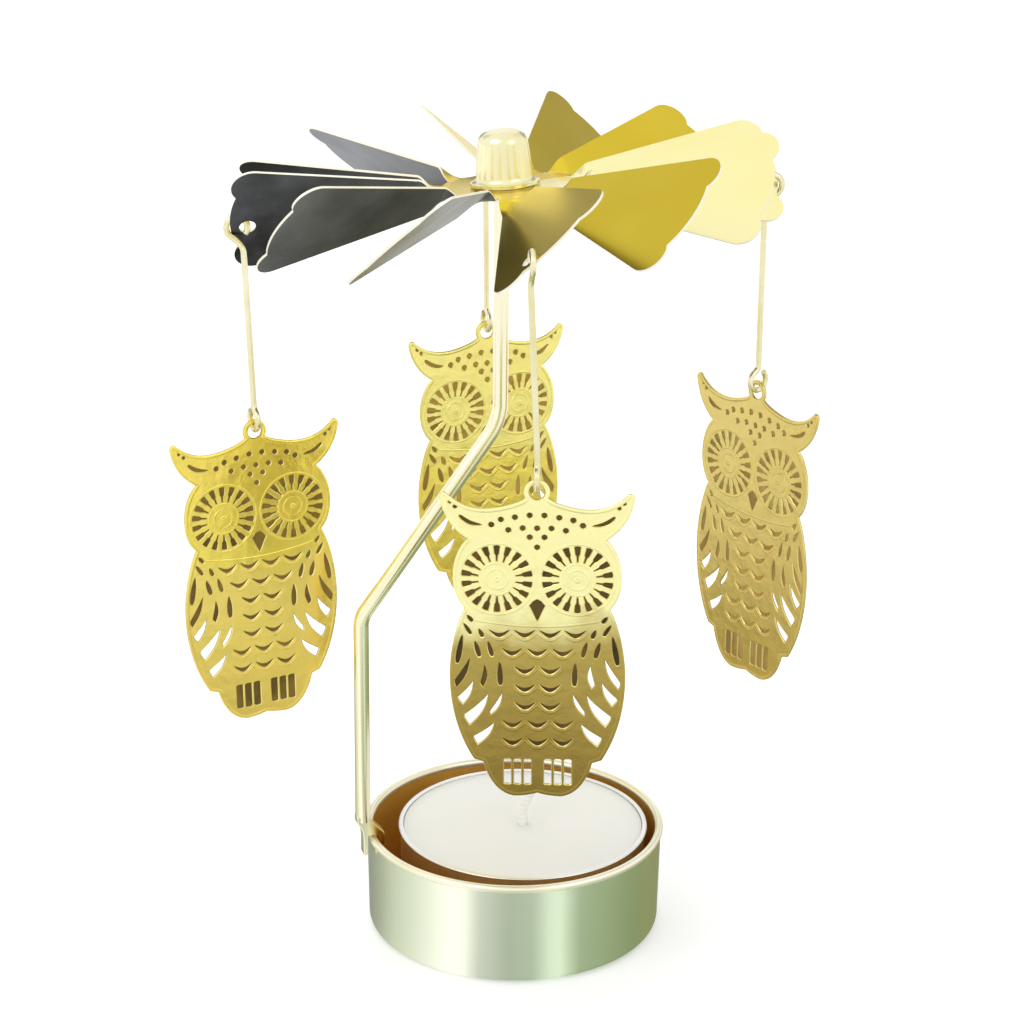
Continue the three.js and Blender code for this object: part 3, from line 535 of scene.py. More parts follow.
def blade_outer():
    """The blade's edge beyond the neck, from the low side's neck end round to the high side's."""
    edge = arc(lobe_x, -lobe_y, CORNER_LOBE, -side_angle, notch_angle, LOBE_STEPS)
    edge += arc(BLADE_REACH - middle_radius, 0, middle_radius, -middle_sweep, middle_sweep, LOBE_STEPS)[1:-1]
    edge += arc(lobe_x, lobe_y, CORNER_LOBE, -notch_angle, side_angle, LOBE_STEPS)
    return edge


def rotor_geometry():
    half = SHEET / 2 - SHEET_SINK
    width = COLUMNS + 1
    rows, outer = sector_rows(), blade_outer()
    points, faces, slots = [], [], []
    for blade in range(BLADES):
        side = hole_sides.get(blade)
        hole = circle(hole_x(side), -side, HANGER_HOLE, HOLE_STEPS) if side else []
        flat = [p for row in rows for p in row] + outer + hole
        outer_start = width * len(rows)
        hole_start = outer_start + len(outer)
        base, under = len(points), len(flat)
        turn = blade * 2 * half_sector
        for z in (half, -half):
            for x, y in flat:
                px, py, pz = bent(blade, x, y, z)
                points.append((px * cos(turn) - py * sin(turn), px * sin(turn) + py * cos(turn), pz))

        def add(face):
            faces.append([base + i for i in face])
            slots.append(TOP_PAINTED_HIGHLIGHT if blade in HIGHLIGHT_PAINTED_BLADES else TOP)
            faces.append([base + under + i for i in reversed(face)])
            slots.append(UNDERSIDE)

        def rim(a, b):
            faces.append((base + a, base + a + under, base + b + under, base + b))
            slots.append(EDGE)

        for r in range(len(rows) - 1):
            for c in range(COLUMNS):
                a = r * width + c
                add((a, a + width, a + width + 1, a + 1))
        last = (len(rows) - 1) * width
        outer_run = list(range(outer_start, hole_start))
        loop = [last + c for c in range(COLUMNS, -1, -1)] + outer_run
        order = loop + list(range(hole_start, under))
        rings = [[Vector((*flat[i], 0)) for i in loop], [Vector((x, y, 0)) for x, y in hole]]
        for face in tessellate_polygon(rings if hole else rings[:1]):
            face = [order[i] for i in face]
            (ax, ay), (bx, by), (cx, cy) = (flat[i] for i in face)
            if (bx - ax) * (cy - ay) - (by - ay) * (cx - ax) < 0:
                face.reverse()
            add(face)

        for c in range(COLUMNS):
            rim(c + 1, c)
        slit_row = len(DISC_RINGS) + 1
        low_side = [r * width for r in range(slit_row, len(rows))]
        high_side = [r * width + COLUMNS for r in range(len(rows) - 1, slit_row - 1, -1)]
        path = low_side + outer_run + high_side
        for a, b in zip(path, path[1:]):
            rim(a, b)
        for i in range(len(hole)):
            rim(hole_start + (i + 1) % len(hole), hole_start + i)
    return points, faces, slots


rotor_finish = [GOLD, PAINTED_SHADE_UNDERSIDE, PAINTED_HIGHLIGHT_EDGE, GOLD_PAINTED_HIGHLIGHT]
piece("rotor_sheet", "rotor", "rotor", rotor_geometry(), rotor_finish, sheet_frame, 40)

# Hub cap
flange = SHEET / 2 + CLEARANCE
lip_reach = HUB_RADIUS + HUB_LIP
skirt = HUB_RADIUS - HUB_WALL
crown_x, crown_z = HUB_RADIUS - HUB_TAPER - HUB_CROWN, HUB_HEIGHT - HUB_CROWN
inner_steps, flare_steps, outer_steps = 10, 14, 18
profile = [(0, HUB_HEIGHT - HUB_WALL)]
profile += arc(crown_x, crown_z, HUB_CROWN - HUB_WALL, 90, 0, inner_steps)
profile += [(skirt, -flange - FLANGE_EDGE), (lip_reach, -flange - FLANGE_EDGE), (lip_reach, -flange)]
profile += [(HUB_RADIUS, -flange), (HUB_RADIUS, flange), (HUB_RADIUS + HUB_FLARE, flange)]
profile += arc(HUB_RADIUS + HUB_FLARE, flange + FLANGE_EDGE + HUB_FLARE, HUB_FLARE, 270, 180, flare_steps)
profile += arc(crown_x, crown_z, HUB_CROWN, 0, 90, outer_steps) + [(0, HUB_HEIGHT)]
piece("hub_dome", "rotor", "hub_cap", lathe(profile, HUB_SIDES), [HUB_GOLD], sheet_frame)


# Hangers
def hanger_path(drop, lean, facing):
    """The wire's run in its hanger's frame: the hook at the blade, the leg and the eye at the charm."""
    start, end = radians(HOOK_START), radians(EYE_START)
    join = (HOOK_RADIUS * cos(start), HOOK_RADIUS * sin(start))
    aim = (join[0] + sin(start), join[1] - cos(start))
    leg_top = (-LEG_INSET, -HOOK_LEAD)
    hook = [leg_top] + bezier(leg_top, (-LEG_INSET, -HOOK_LEAD + LEAD_PULL), aim, join, 12)[:-1]
    hook += arc(0, 0, HOOK_RADIUS, HOOK_START, HOOK_END, 32)
    hook.reverse()
    entry = (EYE_RADIUS * cos(end), EYE_RADIUS * sin(end))
    eye_top, pull = (0, EYE_LEAD), (0, EYE_LEAD - LEAD_PULL / 2)
    eye = [eye_top] + bezier(eye_top, pull, (0, entry[1] + LEAD_PULL / 3), entry, 10)[:-1]
    eye += arc(0, 0, EYE_RADIUS, EYE_START, EYE_END, 32)
    eye_centre = -drop + RING_HOLE - WIRE_RADIUS - CLEARANCE + EYE_RADIUS
    heading = radians(facing)
    path = [(x + LEG_INSET, 0, z) for x, z in hook]
    path += [(lean[0] + x * cos(heading), lean[1] + x * sin(heading), eye_centre + z) for x, z in eye]
    return path


hang_frames = {}
for place, (blade, side, drop, lean, facing, tilt) in HANGERS.items():
    hook = Vector(bent(blade, hole_x(side) + HOOK_RADIUS, -side, 0)) * MM
    hook = sheet_frame @ (Matrix.Rotation(blade * 2 * half_sector, 4, "Z") @ hook)
    azimuth = atan2(hook.y, hook.x - spindle_x * MM)
    hook.x -= LEG_INSET * MM * cos(azimuth)
    hook.y -= LEG_INSET * MM * sin(azimuth)
    hang = Matrix.Translation(hook) @ Matrix.Rotation(azimuth, 4, "Z")
    hang_frames[place] = hang
    wire = tube(hanger_path(drop, lean, facing), WIRE_RADIUS, WIRE_SIDES)
    piece("wire_" + place, "hanger_" + place, "hanger_" + place, wire, [WIRE_GOLD], hang)

# Owl charms, with the ring's centre at the origin and the feet toward -Y
CROWN_HALF, CROWN_DROP, EAR_HALF, EAR_DROP, EAR_TIP = 5, 2.2, 13.2, 0.1, 0.8
TEMPLE_HALF, TEMPLE_DROP, CHEEK, WAIST_HALF, WAIST_DROP = 9.5, 6.8, 2.4, 9.95, 16.9
BODY_HALF, BODY_DROP, FLANK, WING_HALF, WING_DROP = 12.1, 27, 4, 8.9, 39.5
SHIN_STEP, FOOT_HALF, FOOT_LENGTH, FOOT_SPLIT = 1.3, 3.3, 5.6, 0.5
OWL_EYE_HALF, OWL_EYE_DROP, EYE_INNER, EYE_OUTER, EYE_SLOTS = 5.5, 12.6, 2.6, 4.8, 18
FOOT_DROP = WING_DROP + FOOT_LENGTH
# One side of a slot between the eye's rays, as radius and angle in radians, and its end
EYE_SLOT = ((EYE_INNER, 0.025), (3.45, 0.035), (3.75, 0.08), (EYE_OUTER, 0.085))
EYE_SLOT_END = (EYE_OUTER + 0.06, 0)
# Slots in the right wing. Dark ones, closed with painted shade: start, end and width. Open ones: start, end,
# flare and bow
DARK_FEATHERS = (
    ((9.6, -18), (8.9, -18.9), 0.5), ((10.1, -19.2), (9.1, -20.8), 0.5), ((8.0, -20), (7.5, -21.2), 0.55),
    ((10.3, -20.9), (11.05, -25.1), 0.75), ((8.6, -21.8), (7.95, -24.1), 0.65),
    ((6.8, -21.8), (6.2, -24), 0.6), ((5.2, -24.9), (5.1, -28.3), 0.75),
)
OPEN_FEATHERS = (
    ((9.3, -24.3), (11.15, -28.7), 0.6, 0.45), ((7.3, -25.3), (7.5, -28.6), 0.4, 0.45),
    ((8.9, -27.8), (10.3, -31.2), 1.0, 0.35), ((6.8, -29.7), (9.4, -34.3), 1.3, 0.5),
    ((4.9, -29.6), (6.5, -32.8), 0.25, 0.42), ((6.0, -34), (8.3, -37.3), 1.1, 0.42),
)
UPPER_FEATHERS = 2  # the first open ones, which show as open on one wing of the nearest charm only
# Toe slots: how many a foot, the middle one's place and pitch, and one's outline
TOES, TOE_PLACE, TOE_PITCH = 3, 2.8, 1.4
TOE_HALF, TOE_FLAT, TOE_SIDE, TOE_ENDS = 0.5, 0.3, (-39.6, -43.1), (-39.45, -43.25)
# Slot and dots of the ear, and dots of the crown by distance from the centre line and drop
EAR_SLOT, EAR_SLOT_WIDTH, EAR_SLOT_BOW = ((7.5, -4.75), (10.5, -3.5)), 0.5, -0.35
EAR_DOTS, EAR_DOT, CROWN_DOT = ((11.1, -2.2), (11.75, -1.5)), 0.26, 0.38
CROWN_DOTS = (
    (4.9, 4), (6.2, 4.75), (3, 3.65), (1, 3.35), (3.9, 5.5), (1.95, 5.2), (0, 5.2), (1, 6.5), (0, 7.95),
)
# One side of the beak from its top to its tip
BEAK_TOP, BEAK_SIDE, BEAK_TIP = -15.55, ((0.5, -15.8), (1.05, -16.5), (0.75, -17.1), (0.3, -18.1)), -18.7
# Breast feathers: number in each row, place of the first row, pitch, step, sag and width of a slot
FEATHER_ROWS = (4, 3, 2, 2, 2, 3, 3)
ROW_TOP, ROW_PITCH, ROW_STEP, ROW_SAG, ROW_SLOT = -20.05, 2.7, 3.48, 1.12, 2.9
SLOT_STEPS = 12
# Raised lines: outline's inset and width, and those round each eye as radius, width and height
RIDGE, LOW_RIDGE, OUTLINE_INSET, OUTLINE_WIDTH = 0.07, 0.04, 0.3, 0.52
EYE_RIDGES = ((5.2, 0.3, LOW_RIDGE), (2.3, 0.24, LOW_RIDGE), (1.45, 0.3, RIDGE), (0.25, 0.46, RIDGE))
CHIN_PLACE, CHIN_STEPS, CHIN_CURVE, CHIN_WIDTH = -19.5, 17, 0.012, 0.34
ROW_RIDGE_DROP, ROW_RIDGE_WIDTH = 0.42, 0.36
RIDGE_SECTION = ((-0.5, -0.03), (-0.36, 0.6), (0, 1), (0.36, 0.6), (0.5, -0.03))
# Charm's faces: their depth under the solid's, their cut edge and half the web that closes a dark slot, a
# sheet in painted shade
CHARM_SINK, CHAMFER, SHADE_WEB = 0.08, 0.12, 0.03
# Slots of a charm: its face, bevels with a painted highlight, and slot walls and webs in painted shade
FACE, BEVEL, SLOT_WALL = range(3)


def owl_outline():
    half = arc(0, 0, RING_RADIUS, 90, degrees(-0.5), 12)

    def curve(steps, *stops):
        draw = bezier if len(stops) > 2 else quadratic
        half.extend(draw(half[-1], *stops, steps))

    curve(10, (RING_RADIUS * 1.2, -CROWN_DROP * 0.7), (CROWN_HALF, -CROWN_DROP))
    curve(14, (EAR_HALF * 0.73, -CROWN_DROP * 1.45), (EAR_HALF - EAR_TIP, -EAR_DROP))
    curve(8, (EAR_HALF, -EAR_DROP), (EAR_HALF, -EAR_DROP - EAR_TIP))
    curve(14, (EAR_HALF * 0.95, -TEMPLE_DROP * 0.7), (TEMPLE_HALF, -TEMPLE_DROP))
    curve(24, (TEMPLE_HALF + CHEEK, -TEMPLE_DROP - CHEEK), (WAIST_HALF + CHEEK, -WAIST_DROP + CHEEK),
          (WAIST_HALF, -WAIST_DROP))
    curve(20, ((WAIST_HALF + BODY_HALF) / 2, -WAIST_DROP - FLANK / 2), (BODY_HALF, -BODY_DROP + FLANK),
          (BODY_HALF, -BODY_DROP))
    curve(20, (BODY_HALF, -BODY_DROP - FLANK), (WING_HALF + CHEEK, -WING_DROP + FLANK),
          (WING_HALF, -WING_DROP))
    half.append((WING_HALF - SHIN_STEP, -WING_DROP - SHIN_STEP / 3))
    curve(14, (WING_HALF - 2 * SHIN_STEP, -FOOT_DROP + FOOT_SPLIT), (FOOT_HALF, -FOOT_DROP))
    curve(8, (FOOT_HALF / 2, -FOOT_DROP), (0, -FOOT_DROP + FOOT_SPLIT))
    return half + [(-x, y) for x, y in reversed(half[1:-1])]


def slot_line(start, end):
    """Gives the point at a share of the way from start to end and so far to the left."""
    (sx, sy), (ex, ey) = start, end
    length = hypot(ex - sx, ey - sy)
    ux, uy = (ex - sx) / length, (ey - sy) / length
    return lambda t, off: (sx + ux * length * t - uy * off, sy + uy * length * t + ux * off)


def leaf(start, end, width, bow=0.0):
    """A curved slot, pointed at its start and blunt at its end, bowed sideways."""
    at = slot_line(start, end)
    left, right = [], []
    for i in range(SLOT_STEPS + 1):
        t = i / SLOT_STEPS
        swell = width / 2 * (sin(pi * min(t / 1.25, 1)) ** 0.8) if t < 1 else width * 0.2
        shift = bow * sin(pi * t)
        left.append(at(t, shift + swell))
        right.append(at(t, shift - swell))
    return right + left[:0:-1]


def feather(start, end, flare, bow):
    """A feather slot: pointed start, full inner edge, and an outer edge that flares before the end."""
    at = slot_line(start, end)
    run = [(i / SLOT_STEPS, bow * sin(pi * i / SLOT_STEPS)) for i in range(SLOT_STEPS + 1)]
    run += [(0.95, -flare * 0.4), (0.88, -flare * 0.85)]
    run += [(0.82 * i / SLOT_STEPS, -flare * (i / SLOT_STEPS) ** 1.4) for i in range(SLOT_STEPS, 0, -1)]
    side = -1 if start[0] > 0 else 1
    return [at(t, side * off) for t, off in run]


def toe_slot(x):
    """An upright slot with cut corners."""
    (top, end), (high, low) = TOE_SIDE, TOE_ENDS
    return [(x - TOE_HALF, top), (x - TOE_HALF, end), (x - TOE_FLAT, low), (x + TOE_FLAT, low),
            (x + TOE_HALF, end), (x + TOE_HALF, top), (x + TOE_FLAT, high), (x - TOE_FLAT, high)]


def eye_slot(side, angle):
    """A slot between two rays of an eye, which widens outward."""
    edge = [*((radius, -turn) for radius, turn in EYE_SLOT), EYE_SLOT_END, *EYE_SLOT[::-1]]
    return [(side * OWL_EYE_HALF + radius * cos(angle + turn), -OWL_EYE_DROP + radius * sin(angle + turn))
            for radius, turn in edge]


def feather_rows():
    """Places across and height of each row on the breast."""
    return [([(i - (number - 1) / 2) * ROW_STEP for i in range(number)], ROW_TOP - row * ROW_PITCH)
            for row, number in enumerate(FEATHER_ROWS)]


def breast_slot(x, y):
    """A crescent that hangs down."""
    run = [(ROW_SLOT * k / SLOT_STEPS, sin(pi * k / SLOT_STEPS)) for k in range(SLOT_STEPS + 1)]
    loop = [(x - ROW_SLOT / 2 + over, y - ROW_SAG * sag) for over, sag in run]
    return loop + [(x + ROW_SLOT / 2 - over, y - 0.5 * ROW_SAG * sag) for over, sag in run[1:-1]]


def mirrored(point, side):
    return side * point[0], point[1]


def owl_slots(nearest):
    """Open loops, and loops that a web in painted shade closes, of the charm; the nearest one shows more of
    its slots as open.
    """
    opened, shade_filled = [circle(0, 0, RING_HOLE, 32)], []
    for side in (-1, 1):
        for start, end, width in DARK_FEATHERS:
            shade_filled.append(leaf(mirrored(start, side), mirrored(end, side), width))
        for i, (start, end, flare, bow) in enumerate(OPEN_FEATHERS):
            shows = i >= UPPER_FEATHERS or nearest and side > 0
            loop = feather(mirrored(start, side), mirrored(end, side), flare, bow)
            (opened if shows else shade_filled).append(loop)
        for i in range(TOES):
            loop = toe_slot(side * (TOE_PLACE + (i - 1) * TOE_PITCH))
            (opened if nearest else shade_filled).append(loop)
        for i in range(EYE_SLOTS):
            shade_filled.append(eye_slot(side, (i + 0.5) * 2 * pi / EYE_SLOTS))
        start, end = (mirrored(point, side) for point in EAR_SLOT)
        shade_filled.append(leaf(start, end, EAR_SLOT_WIDTH, side * EAR_SLOT_BOW))
        shade_filled += [circle(side * x, y, EAR_DOT, 10) for x, y in EAR_DOTS]
    for x, drop in CROWN_DOTS:
        shade_filled += [circle(side * x, -drop, CROWN_DOT, 12) for side in ((-1, 1) if x else (1,))]
    beak = [(0, BEAK_TOP)] + [(-x, y) for x, y in BEAK_SIDE] + [(0, BEAK_TIP)]
    shade_filled.append(beak + list(BEAK_SIDE[::-1]))
    for places, y in feather_rows():
        shade_filled += [breast_slot(x, y) for x in places]
    return opened, shade_filled


def owl_ridges():
    """Raised lines of the charm: path, width, height and whether it is closed."""
    lines = [(inset(owl_outline()[::-1], OUTLINE_INSET), OUTLINE_WIDTH, RIDGE, True)]
    for side in (-1, 1):
        for radius, width, height in EYE_RIDGES:
            lines.append((circle(side * OWL_EYE_HALF, -OWL_EYE_DROP, radius, 40), width, height, True))
    chin = [i / 2 for i in range(-CHIN_STEPS, CHIN_STEPS + 1)]
    lines.append(([(x, CHIN_PLACE + CHIN_CURVE * x * x) for x in chin], CHIN_WIDTH, RIDGE, False))
    for places, y in feather_rows():
        y -= ROW_RIDGE_DROP
        path = [(x - ROW_STEP / 2 + ROW_STEP * k / SLOT_STEPS, y - ROW_SAG * sin(pi * k / SLOT_STEPS))
                for x in places for k in range(SLOT_STEPS)]
        path.append((places[-1] + ROW_STEP / 2, y))
        lines.append((path, ROW_RIDGE_WIDTH, RIDGE, False))
    return lines


def ridge(path, width, height, closed, base):
    """A low rounded line on both faces of the sheet, closed underneath."""
    count, wide = len(path), len(RIDGE_SECTION)
    points, faces = [], []
    for side in (1, -1):
        start = len(points)
        for i, (x, y) in enumerate(path):
            px, py = path[i - 1] if i or closed else path[i]
            nx, ny = path[(i + 1) % count] if i < count - 1 or closed else path[i]
            length = hypot(nx - px, ny - py)
            ux, uy = (py - ny) / length * width, (nx - px) / length * width
            points += [(x + ux * over, y + uy * over, side * (base + rise * height))
                       for over, rise in RIDGE_SECTION]
        for i in range(count if closed else count - 1):
            a, b = start + wide * i, start + wide * ((i + 1) % count)
            faces += [(a + k, b + k, b + (k + 1) % wide, a + (k + 1) % wide) for k in range(wide)]
        if not closed:
            end = start + wide * count
            faces += [tuple(range(start, start + wide)), tuple(range(end - wide, end))]
    return points, faces


def turned(loop, sign):
    """The loop, counter-clockwise with a sign of 1 and clockwise with -1."""
    area = sum(a[0] * b[1] - b[0] * a[1] for a, b in zip(loop, loop[1:] + loop[:1])) / 2
    return loop if area * sign > 0 else loop[::-1]


def inset(loop, distance):
    """Moves a loop sideways by distance; a counter-clockwise loop shrinks."""
    moved = []
    count = len(loop)
    for i, (x, y) in enumerate(loop):
        px, py = loop[i - 1]
        nx, ny = loop[(i + 1) % count]
        a, b = Vector((x - px, y - py)), Vector((nx - x, ny - y))
        if a.length < 1e-9 or b.length < 1e-9:
            moved.append((x, y))
            continue
        a.normalize()
        b.normalize()
        normal = Vector((-a.y - b.y, a.x + b.x))
        if normal.length < 1e-6:
            normal = Vector((-a.y, a.x))
        normal.normalize()
        reach = distance / max(normal.dot(Vector((-a.y, a.x))), 0.6)
        moved.append((x + normal.x * reach, y + normal.y * reach))
    return moved


def charm_geometry(nearest):
    """A sheet with open slots and slots closed by a web in painted shade, edges rounded off, in the XY
    plane.
    """
    half = CHARM_SHEET / 2 - CHARM_SINK
    opened, shade_filled = owl_slots(nearest)
    loops = [(turned(owl_outline(), 1), "outline")]
    loops += [(turned(loop, -1), "open") for loop in opened]
    loops += [(turned(loop, -1), "shade_filled") for loop in shade_filled]
    points, faces, slots = [], [], []
    rings, order = [], {1: [], -1: []}

    def add(face, slot, side=1):
        faces.append(face if side > 0 else face[::-1])
        slots.append(slot)

    for loop, kind in loops:
        count = len(loop)
        lifted = inset(loop, CHAMFER)
        # A dark slot gets a web across it, a sheet in painted shade
        levels = [(lifted, half), (loop, half - CHAMFER)] + [(loop, SHADE_WEB)] * (kind == "shade_filled")
        starts = {1: [], -1: []}
        for side in (1, -1):
            for ring, z in levels:
                starts[side].append(len(points))
                points += [(x, y, side * z) for x, y in ring]
            order[side] += range(starts[side][0], starts[side][1])
        rings.append([Vector((x, y, 0)) for x, y in lifted])
        for i in range(count):
            j = (i + 1) % count
            for side in (1, -1):
                for a, b, slot in zip(starts[side], starts[side][1:], (BEVEL, SLOT_WALL)):
                    add([a + i, b + i, b + j, a + j], slot, side)
            if kind != "shade_filled":
                a, b = starts[1][-1], starts[-1][-1]
                add([a + i, b + i, b + j, a + j], SLOT_WALL if kind == "open" else BEVEL)
        if kind == "shade_filled":
            for side in (1, -1):
                a = starts[side][-1]
                add(list(range(a, a + count)), SLOT_WALL, -side)
    for side in (1, -1):
        for face in tessellate_polygon(rings):
            add([order[side][i] for i in face], FACE)
    for path, width, height, closed in owl_ridges():
        raised, strips = ridge(path, width, height, closed, half)
        for strip in strips:
            add([len(points) + i for i in strip], FACE)
        points += raised
    return points, faces, slots


# Painted light and shade in each charm's tones: head, body and feet, then light and dark inside its slots
CHARM_PAINTED_LIGHT_TONES = {
    "front": (((254, 248, 178), (186, 164, 80), (158, 130, 54)), ((112, 90, 40), (62, 48, 22))),
    "right": (((232, 210, 124), (232, 206, 120), (214, 184, 90)), ((204, 174, 100), (162, 130, 70))),
    "back": (((255, 241, 142), (255, 230, 106), (246, 212, 96)), ((204, 174, 82), (156, 128, 54))),
    "left": (((255, 231, 104), (252, 224, 116), (248, 213, 104)), ((160, 132, 54), (106, 84, 34))),
}
upright = Matrix.Rotation(pi / 2, 4, "X")
for place, (blade, side, drop, lean, facing, tilt) in HANGERS.items():
    seat = hang_frames[place] @ Matrix.Translation(Vector((*lean, -drop)) * MM)
    turn = Matrix.Rotation(radians(facing) + pi / 2, 4, "Z")
    seat @= turn @ Matrix.Rotation(-radians(tilt), 4, "Y") @ upright
    # Each charm's plating is lit or shaded its own way, pale at the head and dark at the feet
    plate_painted_light_tones, slot_shade_tones = CHARM_PAINTED_LIGHT_TONES[place]
    plating = painted_light_charm_plate("charm_painted_light_" + place, seat.translation.z / MM, *plate_painted_light_tones)
    # Walls and webs of the slots in painted shade, dark on the nearest charm and light on the right and back
    # ones
    slot_painted_shade = plated("charm_slot_painted_shade_" + place, *slot_shade_tones, (0.5, 0.7), 160, Metallic=0.6)
    owl, finish = charm_geometry(place == "front"), [plating, PAINTED_HIGHLIGHT_BEVEL, slot_painted_shade]
    piece("owl_" + place, "charm_" + place, "owl_charm_" + place, owl, finish, seat, 30)

# Solids that show as they are
for node, material in (("pivot_needle", STEEL), ("bearing_plug", GOLD), ("wick_sustainer", STEEL)):
    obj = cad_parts[node]
    for slot in obj.material_slots:
        slot.material = material
    if not obj.material_slots:
        obj.data.materials.append(material)

# Camera, fitted to the photograph: its place in metres, and its angles in degrees
CAMERA_PLACE = (0, -0.40424, 0.21541)
TURN, PAN, PITCH, ROLL = -15.57, -0.154, 20.131, 0.548
camera_data = bpy.data.cameras.new("camera")
camera_data.sensor_width = 36
camera_data.lens = 102.17
camera_data.clip_start = 0.01
camera = linked("camera", camera_data)
pan, pitch, roll = radians(PAN), radians(PITCH), radians(ROLL)
forward = Vector((sin(pan) * cos(pitch), cos(pan) * cos(pitch), -sin(pitch)))
right = Vector((cos(pan), -sin(pan), 0))
up = right.cross(forward)
right, up = right * cos(roll) + up * sin(roll), up * cos(roll) - right * sin(roll)
axes = Matrix((right, up, -forward)).transposed().to_4x4()
camera.matrix_world = Matrix.Rotation(radians(TURN), 4, "Z") @ Matrix.Translation(CAMERA_PLACE) @ axes
bpy.context.scene.camera = camera

# Floor, boards, lamps and world, in metres and degrees
SQUARE = ((-1, -1), (1, -1), (1, 1), (-1, 1))
FLOOR_HALF, FLOOR_TONE, FLOOR_GLOW, WORLD_LIGHT, WORLD_SEEN = 3, 0.86, 0.25, 0.8, 1.0
VIEW_AZIMUTH = 254.43  # side that the ground boards are set out for
GROUND_BOARDS, GROUND_INSET, GROUND_REACH, GROUND_LIFT, GROUND_FADE = 240, 1.5, 0.6, 0.0001, (0.09, 0.18)
CARD_HEIGHT, CARD_DISTANCE, LAMP_AIM = 0.11, 0.6, 0.07
# Tone of the ground boards by the azimuth that they run out to
BOARD_TONES = (
    (0, (0.26, 0.31, 0.16)), (25, (0.28, 0.3, 0.14)), (48, (0.28, 0.27, 0.14)), (62, (0.32, 0.33, 0.26)),
    (73, (0.58, 0.61, 0.54)), (84, (0.36, 0.38, 0.33)), (100, (0.31, 0.32, 0.28)), (125, (0.42, 0.44, 0.37)),
    (150, (0.68, 0.7, 0.62)), (172, (0.84, 0.85, 0.8)), (190, (1.02, 1.02, 0.98)), (205, (1.24, 1.24, 1.2)),
    (216, (1.12, 1.12, 1.1)), (228, (0.66, 0.67, 0.65)), (250, (0.45, 0.5, 0.44)), (269, (0.48, 0.54, 0.46)),
    (283, (0.78, 0.88, 0.76)), (291, (0.82, 0.92, 0.79)), (298, (0.58, 0.67, 0.53)),
    (307, (0.37, 0.45, 0.31)), (325, (0.32, 0.4, 0.24)),
)
# Boards that the blades mirror: name, azimuth, elevation, width, height and tone
CARDS = (
    ("card_two", 43, 20, 0.3, 0.28, 0.46),
    ("card_nine", 96, 9, 0.24, 0.2, 0.31),
    ("card_one", 27, 49, 0.3, 0.26, 0.86),
    ("card_ten", 122, 36, 0.3, 0.26, 0.74),
)
# Lamps: name, azimuth, elevation, distance, width, height, watts and whether gloss mirrors them
LAMPS = (
    ("overhead", 116, 80, 1.6, 1.2, 1.2, 9.4, False),
    ("front_left", 208, 42, 1.2, 0.7, 0.6, 1.5, True),
    ("front_right", 300, 34, 1.3, 0.5, 0.6, 0.9, True),
)


def seen_directly(tree):
    """1 for what the camera sees straight, mirrored or through glass, and 0 for the light it gives."""
    path = tree.add("LightPath")
    total = path.outputs["Is Camera Ray"]
    for kind in ("Is Glossy Ray", "Is Transmission Ray"):
        more = tree.add("Math", operation="MAXIMUM")
        tree.link(total, more.inputs[0])
        tree.link(path.outputs[kind], more.inputs[1])
        total = more.outputs[0]
    return total


def flat_object(name, points, faces, glossy_only=True):
    """A flat mesh outside the part, which only gloss sees if so set, and its material's empty tree."""
    mesh = bpy.data.meshes.new(name)
    mesh.from_pydata(points, [], faces)
    obj = linked(name, mesh)
    material = bpy.data.materials.new(name)
    material.use_nodes = True
    material.node_tree.nodes.clear()
    mesh.materials.append(material)
    if glossy_only:
        obj.visible_camera = obj.visible_diffuse = obj.visible_shadow = obj.visible_transmission = False
    return obj, Tree(material.node_tree)


def toward(azimuth, elevation, distance):
    a, e = radians(azimuth), radians(elevation)
    return Vector((cos(a) * cos(e), sin(a) * cos(e), sin(e))) * distance


def floor():
    corners = [(x * FLOOR_HALF, y * FLOOR_HALF, 0) for x, y in SQUARE]
    obj, tree = flat_object("floor", corners, [(0, 1, 2, 3)], glossy_only=False)
    diffuse = tree.add("BsdfDiffuse", Color=(FLOOR_TONE, FLOOR_TONE, FLOOR_TONE, 1))
    glow = tree.add("Emission")
    tree.link(tree.range(seen_directly(tree), 0, FLOOR_GLOW), glow.inputs["Strength"])
    both = tree.add("AddShader")
    tree.link(diffuse.outputs[0], both.inputs[0])
    tree.link(glow.outputs[0], both.inputs[1])
    tree.surface(both)


def white_world():
    world = bpy.data.worlds.new("world")
    bpy.context.scene.world = world
    world.use_nodes = True
    tree = Tree(world.node_tree)
    background = world.node_tree.nodes["Background"]
    tree.link(tree.range(seen_directly(tree), WORLD_LIGHT, WORLD_SEEN), background.inputs["Strength"])
    background.inputs["Color"].default_value = (1, 1, 1, 1)


def card(name, azimuth, elevation, width, height, strength):
    """A board of one plain grey that faces the object, seen only in the gloss of the metal."""
    centre = Vector((0, 0, CARD_HEIGHT)) + toward(azimuth, elevation, CARD_DISTANCE)
    across = toward(azimuth + 90, 0, width / 2)
    rise = toward(azimuth, elevation, 1).cross(across).normalized() * height / 2
    corners = [centre + across * x + rise * y for x, y in SQUARE]
    obj, tree = flat_object(name, corners, [(0, 1, 2, 3)])
    tree.surface(tree.add("Emission", Strength=strength))


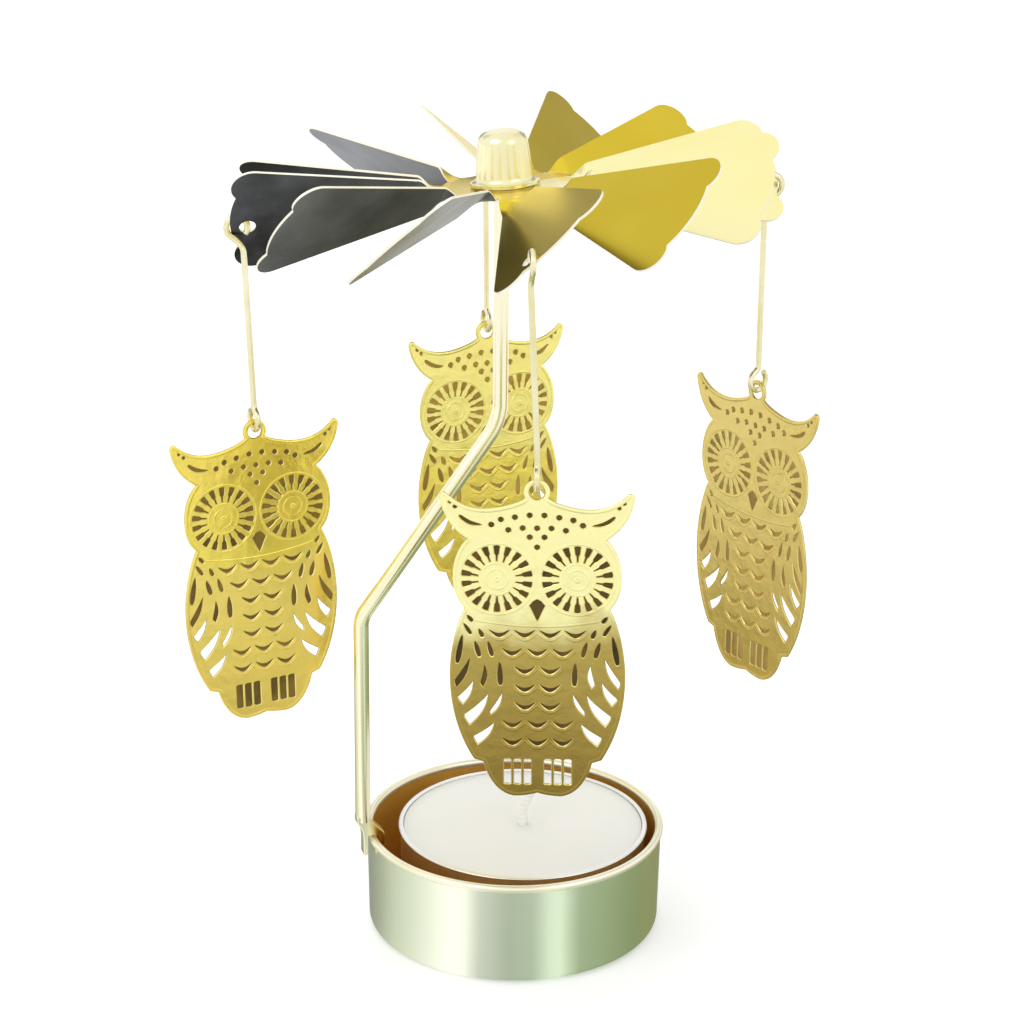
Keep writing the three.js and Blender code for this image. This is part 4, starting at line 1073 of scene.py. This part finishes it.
def board_tone(azimuth):
    stops = [*BOARD_TONES, (360, BOARD_TONES[0][1])]
    azimuth %= 360
    for (a, low), (b, high) in zip(stops, stops[1:]):
        if a <= azimuth <= b:
            part = (azimuth - a) / (b - a)
            return [x + (y - x) * part for x, y in zip(low, high)]


def ground_boards():
    """Grey boards that run out over the floor from the cup, which only the gloss of the metal sees."""
    radius = (CUP_RADIUS - GROUND_INSET) * MM
    near, far, tones = [], [], []
    for i in range(GROUND_BOARDS + 1):
        side = -90 + 180 * i / GROUND_BOARDS
        start = toward(VIEW_AZIMUTH + side, 0, radius) + Vector((0, 0, GROUND_LIFT))
        near.append(start)
        far.append(start + toward(VIEW_AZIMUTH + 2 * side, 0, GROUND_REACH))
        tones.append((*board_tone(VIEW_AZIMUTH + 2 * side), 1))
    count = len(near)
    faces = [(i, i + count, (i + 1) % count + count, (i + 1) % count) for i in range(count)]
    obj, tree = flat_object("ground_boards", near + far, faces)
    colors = obj.data.color_attributes.new("tone", "FLOAT_COLOR", "POINT")
    for item, tone in zip(colors.data, tones + tones):
        item.color = tone
    length = tree.add("VectorMath", operation="LENGTH")
    tree.link(tree.add("TexCoord").outputs["Object"], length.inputs[0])
    mix = tree.add("Mix", data_type="RGBA")
    low, high = [socket for socket in mix.inputs if socket.type == "RGBA"]
    high.default_value = (1, 1, 1, 1)
    tree.link(tree.range(length.outputs["Value"], 0, 1, *GROUND_FADE), mix.inputs["Factor"])
    tree.link(tree.add("Attribute", attribute_name="tone").outputs["Color"], low)
    emit = tree.add("Emission")
    tree.link([socket for socket in mix.outputs if socket.type == "RGBA"][0], emit.inputs["Color"])
    tree.surface(emit)


def lamp(name, azimuth, elevation, distance, width, height, watts, mirrors):
    light = bpy.data.lights.new(name, "AREA")
    light.shape = "RECTANGLE"
    light.size, light.size_y = width, height
    light.energy = watts
    obj = linked(name, light)
    obj.visible_glossy = mirrors
    centre = Vector((0, 0, LAMP_AIM))
    obj.location = centre + toward(azimuth, elevation, distance)
    obj.rotation_euler = (centre - obj.location).to_track_quat("-Z", "Y").to_euler()


floor()
white_world()
ground_boards()
for values in CARDS:
    card(*values)
for values in LAMPS:
    lamp(*values)
bpy.context.scene.view_settings.view_transform = "Standard"
